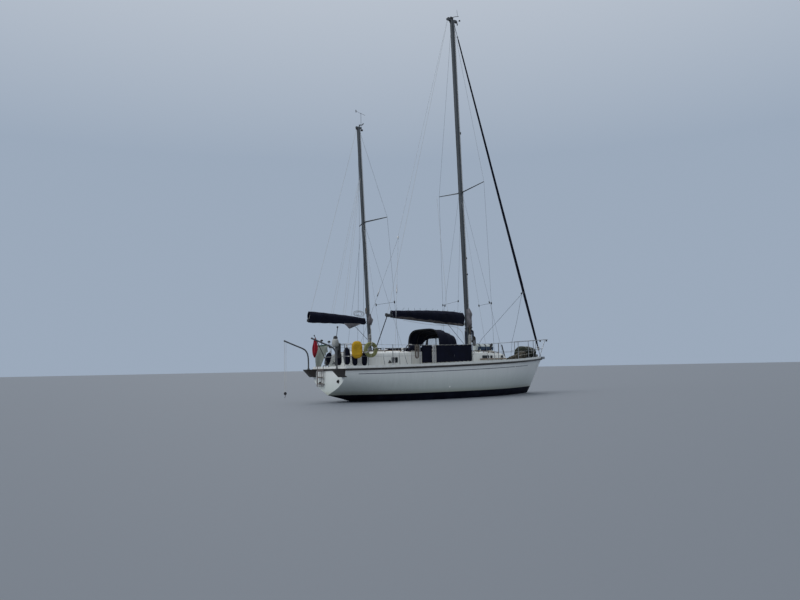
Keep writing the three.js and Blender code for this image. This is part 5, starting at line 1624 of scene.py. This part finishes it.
green_rope = rope("green mooring line", (0.34, 0.35, 0.15), 0.03, "green_rope")
COIL = {"x": -4.52, "y": -1.354, "z": 1.80, "radius": 0.205, "pitch": 0.0262, "columns": 5, "rows": 4,
    "line": 0.018}
coil_path = []
for row in range(COIL["rows"]):
    for column in range(COIL["columns"]):
        last = column == COIL["columns"] - 1
        for k in range(20):
            share = k / 20
            across = column + (0 if last else share)
            across = across if row % 2 == 0 else COIL["columns"] - 1 - across
            layer = row + (share if last else 0)
            reach = COIL["radius"] + (across - 2) * COIL["pitch"]
            a = radians(100) + 2 * pi * share
            coil_path.append((COIL["x"] + reach * cos(a), COIL["y"] + (layer - 1.5) * COIL["pitch"],
                COIL["z"] + reach * sin(a)))
coil = wound("coiled_line", coil_path[:-20], COIL["line"])
seat(coil, green_rope, "rope_coil")
lash = []
for angle in (88, 20, 200):
    a = radians(angle)
    centre = Vector((COIL["x"] + COIL["radius"] * cos(a), COIL["y"], COIL["z"] + COIL["radius"] * sin(a)))
    out = Vector((cos(a), 0, sin(a)))
    for step in (-0.012, 0.0, 0.012):
        along = Vector((-sin(a), 0, cos(a))) * step
        lash.append(bar("lashing", [centre + along + out * 0.072 * cos(t) + Vector((0, 0.064 * sin(t), 0))
            for t in around(12)], 0.0055, 6, closed=True))
fit("coil_lashings", lash, rope_light)


def hank(name, top, turn_height, half_width, along, line, layers, material):
    """A hank: long flat turns inside one another, first inwards and then outwards in the next layer."""
    along = Vector(along).normalized()
    out = Vector((-along.y, along.x, 0))
    pitch = line * 1.25
    inner = max(1, int((half_width - line * 1.3) / pitch))
    path = []
    for layer in range(layers):
        for turn in range(inner):
            for k in range(24):
                t = turn + k / 24
                step = t if layer % 2 == 0 else inner - t
                width = half_width - step * pitch
                tall = turn_height / 2 - step * pitch
                angle = 2 * pi * k / 24 + pi / 2
                c, s = cos(angle), sin(angle)
                height = s * width + copysign(max(0, tall - width), s) * min(1, abs(s) / 0.3)
                depth = layer + (k / 24 if turn == inner - 1 and layer < layers - 1 else 0)
                path.append(Vector(top) + along * c * width + out * (depth - (layers - 1) / 2) * pitch
                    + Vector((0, 0, height - turn_height / 2)))
    piece = wound(name, path, line, 6)
    seat(piece, material)
    wraps = []
    for k in range(3):
        waist = Vector(top) - Vector((0, 0, turn_height * 0.26 + k * line))
        wide, deep = along * half_width * 1.06, out * (layers / 2 * pitch + line * 0.4)
        wraps.append(bar("wrap", [waist + wide * cos(t) + deep * sin(t) for t in around(16)], line * 0.42, 6,
            closed=True))
    fit(name + "_wrap", wraps, material)


white_rope = rope("white braided line", (0.62, 0.62, 0.60), 0.02)
top = (-1.96, -wire_side(-1.96) - 0.026, wire_height(-1.96) + 0.012)
hank("dodger_gap_hank", top, 0.62, 0.08, (1, 0, 0), 0.012, 2, white_rope)
brown_rope = rope("brown flecked line", (0.20, 0.17, 0.14), 0.018)
blue_rope = rope("dark blue line", (0.035, 0.045, 0.07), 0.018)
flecked_rope = rope("dark flecked line", (0.07, 0.065, 0.06), 0.018)
mast_x = axis_at(MAIN, 2.5)
mizzen_x = axis_at(MIZZEN, 2.5)
HANKS = (
    ("main_hank_1", (mast_x + 0.03, -0.088, 2.48), (1, 0.15, 0), 0.46, 0.085, white_rope),
    ("main_hank_2", (mast_x + 0.08, -0.082, 2.86), (1, 0.45, 0), 0.36, 0.10, brown_rope),
    ("main_hank_3", (mast_x - 0.128, -0.03, 2.60), (0.4, 1, 0), 0.56, 0.09, blue_rope),
    ("main_hank_4", (mast_x, 0.088, 2.66), (1, 0, 0), 0.52, 0.075, brown_rope),
    ("main_hank_5", (mast_x + 0.128, 0.0, 2.72), (0, 1, 0), 0.55, 0.065, white_rope),
    ("main_hank_6", (mast_x + 0.148, -0.082, 2.66), (1, -0.1, 0), 0.52, 0.10, blue_rope),
    ("main_hank_7", (mast_x + 0.228, -0.12, 2.40), (1, 0.1, 0), 0.40, 0.09, flecked_rope),
    ("mizzen_hank_1", (mizzen_x, -0.064, 2.42), (1, 0, 0), 0.42, 0.065, white_rope),
    ("mizzen_hank_2", (axis_at(MIZZEN, 3.3) - 0.084, 0, 3.38), (0.1, 1, 0), 0.22, 0.048, brown_rope),
    ("rail_hank", (-2.70, -wire_side(-2.70) - 0.026, wire_height(-2.70) + 0.012), (1, 0, 0), 0.50, 0.09,
        brown_rope),
)
for name, top, along, tall, half, material in HANKS:
    hank(name, top, tall, half, along, 0.011, 3 if "main" in name else 2, material)


# The canister on the coachroof is a glass-fibre drum in a blue canvas skirt, strapped down with navy webbing.
# The foredeck carries a bagged sail in olive cloth, an awning furled in brown canvas, a windlass, two poles
# and a post.
drum_white = moulded_white("canister shell", (0.52, 0.57, 0.55), "pale_canvas")
dress("canister", "deck_canister", 40, drum_white)
webbing = canvas("blue webbing", "navy_canvas", (0.03, 0.05, 0.09), (0.06, 0.09, 0.14), 0.1)


CANISTER = {"radius": 0.149, "x": 1.52, "z": 1.945, "slope": 0.023}


def drum_height(x):
    return CANISTER["z"] - CANISTER["slope"] * (x - CANISTER["x"])


def wrapped(low, high, x0, x1, out):
    """A band of cloth round the drum, between two angles up from level, on both sides of it."""
    bands = []
    for mirror in (1, -1):
        arc = [radians(low + (high - low) * k / 14) for k in range(15)]
        rows = []
        for k, a in enumerate(arc):
            r = CANISTER["radius"] + out * (1 + 0.35 * sin(1.9 * k + mirror))
            section = ((x0, r - 0.004), (x0, r), ((x0 + x1) / 2, r + 0.003), (x1, r), (x1, r - 0.004))
            rows.append([(x, mirror * reach * cos(a), drum_height(x) + reach * sin(a))
                for x, reach in section])
        bands.append(skin("band", rows, ring=True))
    return bands


skirt = wrapped(-62, 12, 1.54, 1.94, 0.008) + wrapped(-62, 16, 1.97, 2.37, 0.010)
ends = []
for x, high in ((1.535, 12), (2.375, 16)):
    arc = [radians(180 - high + (180 + 2 * high) * k / 20) for k in range(21)]
    z = drum_height(x)
    rows = [[(x, reach * cos(a), z + reach * sin(a)) for a in arc] for reach in (0.00316, 0.079, 0.158)]
    ends.append(thick(skin("end", rows), 0.006, 0))
fit("canister_skirt", ends + skirt, webbing)
straps = [band for x in (1.64, 1.955, 2.27) for band in wrapped(-60, 89.5, x - 0.022, x + 0.022, 0.014)]
fit("canister_straps", straps, navy)
olive = canvas("olive sailcloth", "olive_canvas", (0.007, 0.010, 0.007), (0.018, 0.021, 0.014), 1.0)
brown = canvas("brown canvas", "olive_canvas", (0.018, 0.018, 0.013), (0.065, 0.060, 0.047), 0.25)
heap = ((3.905, 0.19, 1.90), (3.97, 0.225, 1.97), (4.15, 0.26, 2.015), (4.5, 0.26, 1.99), (4.8, 0.235, 1.955),
    (4.94, 0.20, 1.90))
sections = []
for k in range(12):
    x = heap[0][0] + (heap[-1][0] - heap[0][0]) * k / 11
    half, top = between(heap, x)
    low = deck_height(x, 0) + 0.004
    sections.append(((x, 0, (low + top) / 2), (0, half, 0), (0.02, 0, (top - low) / 2), 1))
bag = sack("bagged_sail", sections, 24, 8, 0.045, 3)
seat(bag, olive, "sail_bag")
neck = []
for x in (4.3, 4.32, 4.58):
    arc = [pi * j / 10 for j in range(11)]
    neck.append(bar("bag_tie", [(x, 0.25 * cos(t), 1.745 + 0.262 * sin(t)) for t in arc], 0.007, 6))
fit("sail_bag_ties", neck, rope_light)
AWNING = ((2.72, 0.045, -0.60), (2.95, 0.075, -0.585), (3.2, 0.095, -0.565), (3.45, 0.13, -0.53),
    (3.7, 0.165, -0.475), (3.88, 0.15, -0.42), (3.96, 0.07, -0.40))
rolled = []
for k in range(22):
    x = 2.72 + 1.24 * k / 21
    tall, y = between(AWNING, x)
    low = deck_height(x, y) + 0.004
    rolled.append(((x, y, low + tall * 0.96), (0, tall * 1.05, 0), (0, 0, tall), 1))
brown_heap = sack("furled_awning", rolled, 22, 5, 0.14, 9)
seat(brown_heap, brown)
gaskets = []
for x in (2.9, 3.15, 3.42, 3.68, 3.86):
    tall, y = between(AWNING, x)
    low = deck_height(x, y) + 0.004
    gaskets.append(bar("gasket",
        [(x + 0.008 * sin(3 * t), y + tall * 1.14 * cos(t), low + tall * 0.96 + tall * 1.1 * sin(t))
        for t in [pi * k / 10 for k in range(-3, 14)]], 0.006, 6))
fit("awning_gaskets", gaskets, brown_rope)
z = deck_height(4.99, 0.0)
windlass = [
    block("bed", (5.0, -0.10, z - 0.01), (5.16, 0.10, z + 0.02), 0.006),
    turned("gypsy", (5.08, -0.085, z + 0.085), (0, 1, 0),
        [(0, 0.05), (0.012, 0.062), (0.03, 0.045), (0.05, 0.062), (0.12, 0.062), (0.13, 0.04), (0.16, 0.055),
        (0.17, 0.05)], 18),
]
fit("windlass", windlass, cast_alloy)
seat(bar("side_deck_pole", [(0.98, -0.865, 1.45), (2.65, -0.60, 1.47)], 0.024, 12), weathered_teak)
pole_mount = []
for x in (1.15, 2.4):
    y = -0.865 + 0.265 * (x - 0.98) / 1.67
    wall_y = on_side("forward_coachroof", x, 1.45, 0).y
    pole_mount.append(block("clip", (x - 0.015, min(y, wall_y) - 0.006, 1.438),
        (x + 0.015, max(y, wall_y) + 0.01, 1.462), 0.003))
fit("pole_clips", pole_mount, stainless)
spar_pole = [bar("pole", [Vector((2.95, -0.62, deck_height(2.95, -0.62) + 0.055)),
    Vector((4.35, -0.36, deck_height(4.35, -0.36) + 0.06))], 0.026, 12)]
for x, y in ((3.05, -0.60), (4.2, -0.39)):
    z = deck_height(x, y)
    spar_pole.append(block("chock", (x - 0.03, y - 0.03, z - 0.004), (x + 0.03, y + 0.03, z + 0.035), 0.005))
fit("foredeck_pole", spar_pole, spar_metal_with_painted_shade)


# Loose sailcloth at the masts: the luff of each stowed sail, gathered in folds round its mast at the boom,
# and a corner of the mizzen that hangs out below its boom. The cloth is grey with dirt and soft with age.
pale_cloth = canvas("grey sailcloth", "pale_canvas", (0.24, 0.25, 0.245), (0.40, 0.41, 0.40))
mauve_cloth = canvas("dirty sailcloth", "pale_canvas", (0.07, 0.065, 0.07), (0.24, 0.23, 0.245))
bunt_cloth = canvas("brown grey sailcloth", "pale_canvas", (0.03, 0.026, 0.026), (0.10, 0.09, 0.088))
grey_canvas = canvas("grey green canvas", "pale_canvas", (0.13, 0.15, 0.135), (0.22, 0.245, 0.22))


def gathered(name, mast, low, high, spread, folds, seed):
    """Cloth gathered in upright folds round the front of a mast."""
    gap = 0.012
    dice = random.Random(seed)
    shift = [dice.uniform(0, 6.28) for _ in range(3)]
    rows = []
    for i in range(26):
        z = low + (high - low) * i / 25
        share = i / 25
        swell = between(spread, share)[0]
        row = []
        for j in range(90):
            a = radians(-132 + 220 * j / 89)
            thin = min(1, max(0.12, (degrees(a) + 112) / 50))
            deep = 0.5 + 0.5 * sin(folds * a + shift[0] + 1.6 * sin(4 * share + shift[1]))
            deep = deep * (0.75 + 0.25 * sin(3 * a + 7 * share + shift[2]))
            reach = gap + swell * (0.25 + 0.75 * deep) * thin
            row.append(on_mast(mast, z + 0.02 * sin(2 * a + 9 * share), degrees(a), reach))
        rows.append(row)
    piece = thick(skin(name, rows), 0.002, 1)
    seat(smooth(piece, 60), mauve_cloth)


gathered("main_luff_cloth", MAIN, 2.74, 3.52, ((0, 0.06), (0.2, 0.14), (0.5, 0.10), (0.75, 0.12),
    (1, 0.04)), 12, 5)
gathered("mizzen_luff_cloth", MIZZEN, 2.76, 3.14, ((0, 0.05), (0.35, 0.11), (0.7, 0.08), (1, 0.03)), 9, 8)
tail_rows = []
for i in range(15):
    share = i / 14
    low_x, high_x = -4.08 - 0.66 * share, -4.08 - 0.72 * share
    low = 2.775 - 0.19 * min(1, share / 0.75) - (0.0 if share < 0.75 else -0.15 * (share - 0.75) / 0.25)
    row = []
    for j in range(9):
        up = j / 8
        z = low + (2.79 - low) * up
        row.append(Vector((low_x + (high_x - low_x) * up,
            -0.050 - 0.012 * sin(9 * share + 4 * up) * (1 - up), z)))
    tail_rows.append(row)
tail = thick(skin("mizzen_sail_corner", tail_rows), 0.0015, 0)
seat(smooth(tail, 60), mauve_cloth, body="mizzen_boom_and_sail")


# The main boom's loose gear: a slack reefing tail from under the boom to the mast's foot, blocks on strops at
# the mast, the tack's lashing, the sail's foot below the cover, and the ends of the cover's ties along its
# ridge.
UNDER = ((-1.519, 2.994), (-0.831, 2.934), (-0.278, 2.836), (0.291, 2.788), (0.605, 2.726), (0.813, 2.568),
    (0.911, 2.326), (0.955, 2.06), (0.985, 1.98))
slack_path = []
for k in range(41):
    x = UNDER[0][0] + (UNDER[-1][0] - UNDER[0][0]) * (1 - (1 - k / 40) ** 1.8)
    slack_path.append(Vector((x, -0.004, between(UNDER, x)[0])))
slack_path.insert(0, Vector((-1.60, 0, boom_height(MAIN_BOOM, -1.60) - MAIN_BOOM["radius"] - 0.002)))
slack = wound("reefing_tail", slack_path, 0.014, 8)
slack.data.materials.append(rope_light)
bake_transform(slack)
lumps = []
for x, y, z, r in ((mast_x - 0.14, -0.05, 2.70, 0.038), (mast_x + 0.05, -0.12, 2.73, 0.042),
    (mast_x + 0.17, -0.03, 2.76, 0.045)):
    lumps.append(turned("sheave", (x, y - 0.03, z), (0, 1, 0),
        [(0, r * 0.7), (0.006, r), (0.02, r), (0.024, r * 0.8), (0.036, r * 0.8), (0.04, r), (0.054, r),
        (0.06, r * 0.7)], 16))
    lumps.append(bar("strop", [(x, y, z), on_mast(MAIN, z + 0.05, degrees(atan2(y, x - axis_at(MAIN, z))))],
        0.011, 8))
fit("mast_blocks", lumps, dark_rubber)
lashing = [bar("turn", [(x, 0.068 * cos(t), 2.905 + 0.068 * sin(t)) for t in around(16)], 0.008, 6,
    closed=True) for x in (0.885, 0.90)]
fit("main_tack_lashing", lashing, white_rope, body="main_boom_and_sail")
for side in (-1, 1):
    band = []
    for i in range(91):
        x = 0.82 - 3.40 * i / 90
        low = boom_height(MAIN_BOOM, x) - MAIN_BOOM["radius"] - 0.03
        deep = 0.075 + 0.02 * sin(5.3 * x + side) + 0.012 * sin(13.1 * x)
        lift = [(0.060 + 0.012 * k / 5 + 0.004 * sin(31 * x + 2 * k), low + deep * k / 5) for k in range(6)]
        band.append([Vector((x, side * out, up)) for out, up in lift])
    foot = thick(skin(f"main_sail_foot_{'port' if side > 0 else 'starboard'}", band), 0.0015, 0)
    seat(smooth(foot, 60), bunt_cloth, body="main_boom_and_sail")
tails = []
for k in range(2, 60, 5):
    x = 0.80 - 3.35 * k / 59
    top = surface("main_sail_cover", (x, 0.02 * sin(2.2 * k), 5), (0, 0, -1))[0]
    lean = Vector((0.05 * sin(k), 0.03 * cos(2 * k), 0.07 + 0.05 * sin(k * 1.3) ** 2))
    tails.append(bar("tail", [top - Vector((0, 0, 0.02)), top + lean * 0.6,
        top + lean + Vector((0.03, 0, -0.01))], 0.005, 6, curved=True))
fit("main_cover_ties", tails, rope_dark, body="main_boom_and_sail", slot="pale_rope")


# The mizzen's reefing line is brown flecked rope of 12 mm. It hangs in three loose turns round the mizzen
# boom, with both of its ends bare.
loops = []
for k in range(57):
    turn = k / 18
    a = 2 * pi * turn - pi / 2
    size = 1 - 0.22 * turn
    loops.append(Vector((-4.13 + 0.26 * size * cos(a), 0.03 * sin(0.8 * a) + 0.011 * turn,
        3.155 + 0.125 * size * sin(a))))
loop_rope = wound("mizzen_reef_line", loops, 0.012, 6)
seat(loop_rope, brown_rope, body="mizzen_boom_and_sail")


# On the pushpit: a pale canvas windbreak over the port half of the stern rail, with a dark green hem, a small
# outboard engine under a pale cover on a black pad, and a rescue pole with its ball. A post stands on the
# foredeck.
rail_z = wire_height(-5.33)
panel_rows = []
for i in range(25):
    y = 0.13 + 0.90 * i / 24
    row = []
    drop = 0.26 + 0.50 * min(1, max(0, (y - 0.22) / 0.42)) ** 1.3
    for j in range(17):
        t = j / 16
        z = rail_z + 0.015 - drop * t
        belly = 0.028 * sin(pi * t) * (0.6 + 0.4 * sin(5.1 * y + 3 * t)) + 0.006 * sin(23 * y) * t
        row.append(Vector((-5.3475 - belly, y, z)))
    panel_rows.append(row)
windbreak = thick(skin("stern_windbreak", panel_rows), 0.002, 1)
seat(smooth(windbreak, 60), grey_canvas)
green = canvas("green hem tape", "olive_canvas", (0.008, 0.030, 0.016), (0.015, 0.055, 0.03), 0.1, 0.003)
hem = seat(block("windbreak_hem", (-5.356, 0.125, rail_z - 0.02), (-5.343, 1.035, rail_z + 0.022),
    0.004), green)
ties = [bar("tie", [(-5.331 + 0.022 * cos(t), y, rail_z + 0.020 * sin(t)) for t in around(10)], 0.004, 6,
    closed=True) for y in (0.2, 0.46, 0.72, 0.94)]
fit("windbreak_ties", ties, rope_light)
low_z = (sheer(-5.33) + rail_z) / 2
seat(block("outboard_pad", (-5.372, -0.74, low_z - 0.05), (-5.341, -0.54, rail_z + 0.02), 0.006), dark_rubber)
engine = [
    block("clamp", (-5.42, -0.70, 1.80), (-5.366, -0.58, rail_z + 0.045), 0.01),
    block("hook", (-5.366, -0.70, rail_z + 0.028), (-5.33, -0.58, rail_z + 0.045), 0.004),
    turned("leg", (-5.49, -0.64, 1.36), (0.12, 0, 1),
        [(0, 0.022), (0.03, 0.03), (0.12, 0.032), (0.16, 0.042), (0.40, 0.05), (0.55, 0.062),
        (0.62, 0.07)], 14),
    turned("gearcase", (-5.44, -0.64, 1.37), (-1, 0, 0),
        [(0, 0.008), (0.03, 0.03), (0.10, 0.032), (0.14, 0.02)], 14),
    block("plate", (-5.575, -0.69, 1.475), (-5.44, -0.59, 1.483), 0.003),
    block("skeg", (-5.51, -0.643, 1.29), (-5.455, -0.637, 1.36), 0.002),
]
for k in range(3):
    blade = block("blade", (-5.592, -0.018, 0.012), (-5.586, 0.018, 0.075), 0.002)
    blade.data.transform(Matrix.Translation((0, -0.64, 1.37)) @ Matrix.Rotation(radians(120 * k), 4, "X"))
    engine.append(blade)
fit("outboard_leg", engine, patchy("engine leg paint", "engine_paint", (0.06, 0.065, 0.07), 0.45))
hood_sections = []
for z, across, along, fold in ((1.92, 0.085, 0.09, 1), (1.94, 0.11, 0.12, 1), (1.99, 0.128, 0.14, 0.8),
    (2.06, 0.132, 0.145, 0.5), (2.13, 0.128, 0.135, 0.5), (2.18, 0.10, 0.11, 0.4), (2.20, 0.07, 0.075, 0.3)):
    hood_sections.append(((-5.50, -0.64, z), (along * 0.80, 0, 0), (0, across, 0), fold))
engine_cover = sack("outboard_cover", hood_sections, 26, 7, 0.09, 12)
seat(engine_cover, pale_cloth)
cap = turned("outboard_cap", (-5.50, -0.65, 2.185), (0, 0, 1),
    [(0, 0.060), (0.02, 0.074), (0.05, 0.075), (0.08, 0.066), (0.105, 0.045), (0.115, 0.015)], 18)
seat(cap, dark_rubber)
ball = [(0, 0.012), (0.01, 0.028), (0.03, 0.036), (0.05, 0.028), (0.06, 0.010)]
pole = [bar("staff", [(-5.376, -0.46, 1.50), (-5.344, -0.46, 2.28), (-5.30, -0.46, 2.60)], 0.011, 10)]
pole.append(turned("ball", (-5.301, -0.46, 2.585), (0, 0, 1), ball, 14))
for z in (1.62, rail_z):
    pole.append(block("clip", (-5.372, -0.478, z - 0.012), (-5.335, -0.442, z + 0.012), 0.004))
fit("rescue_pole", pole, dark_rubber)
lean_foot = Vector((2.92, -0.3, deck_height(2.92, -0.3)))
leaning = [bar("post", [lean_foot, Vector((2.72, -0.3, 2.05))], 0.024, 12),
    block("shoe", lean_foot - Vector((0.045, 0.045, 0.006)), lean_foot + Vector((0.045, 0.045, 0.03)), 0.006)]
fit("foredeck_post", leaning, dark_rubber)
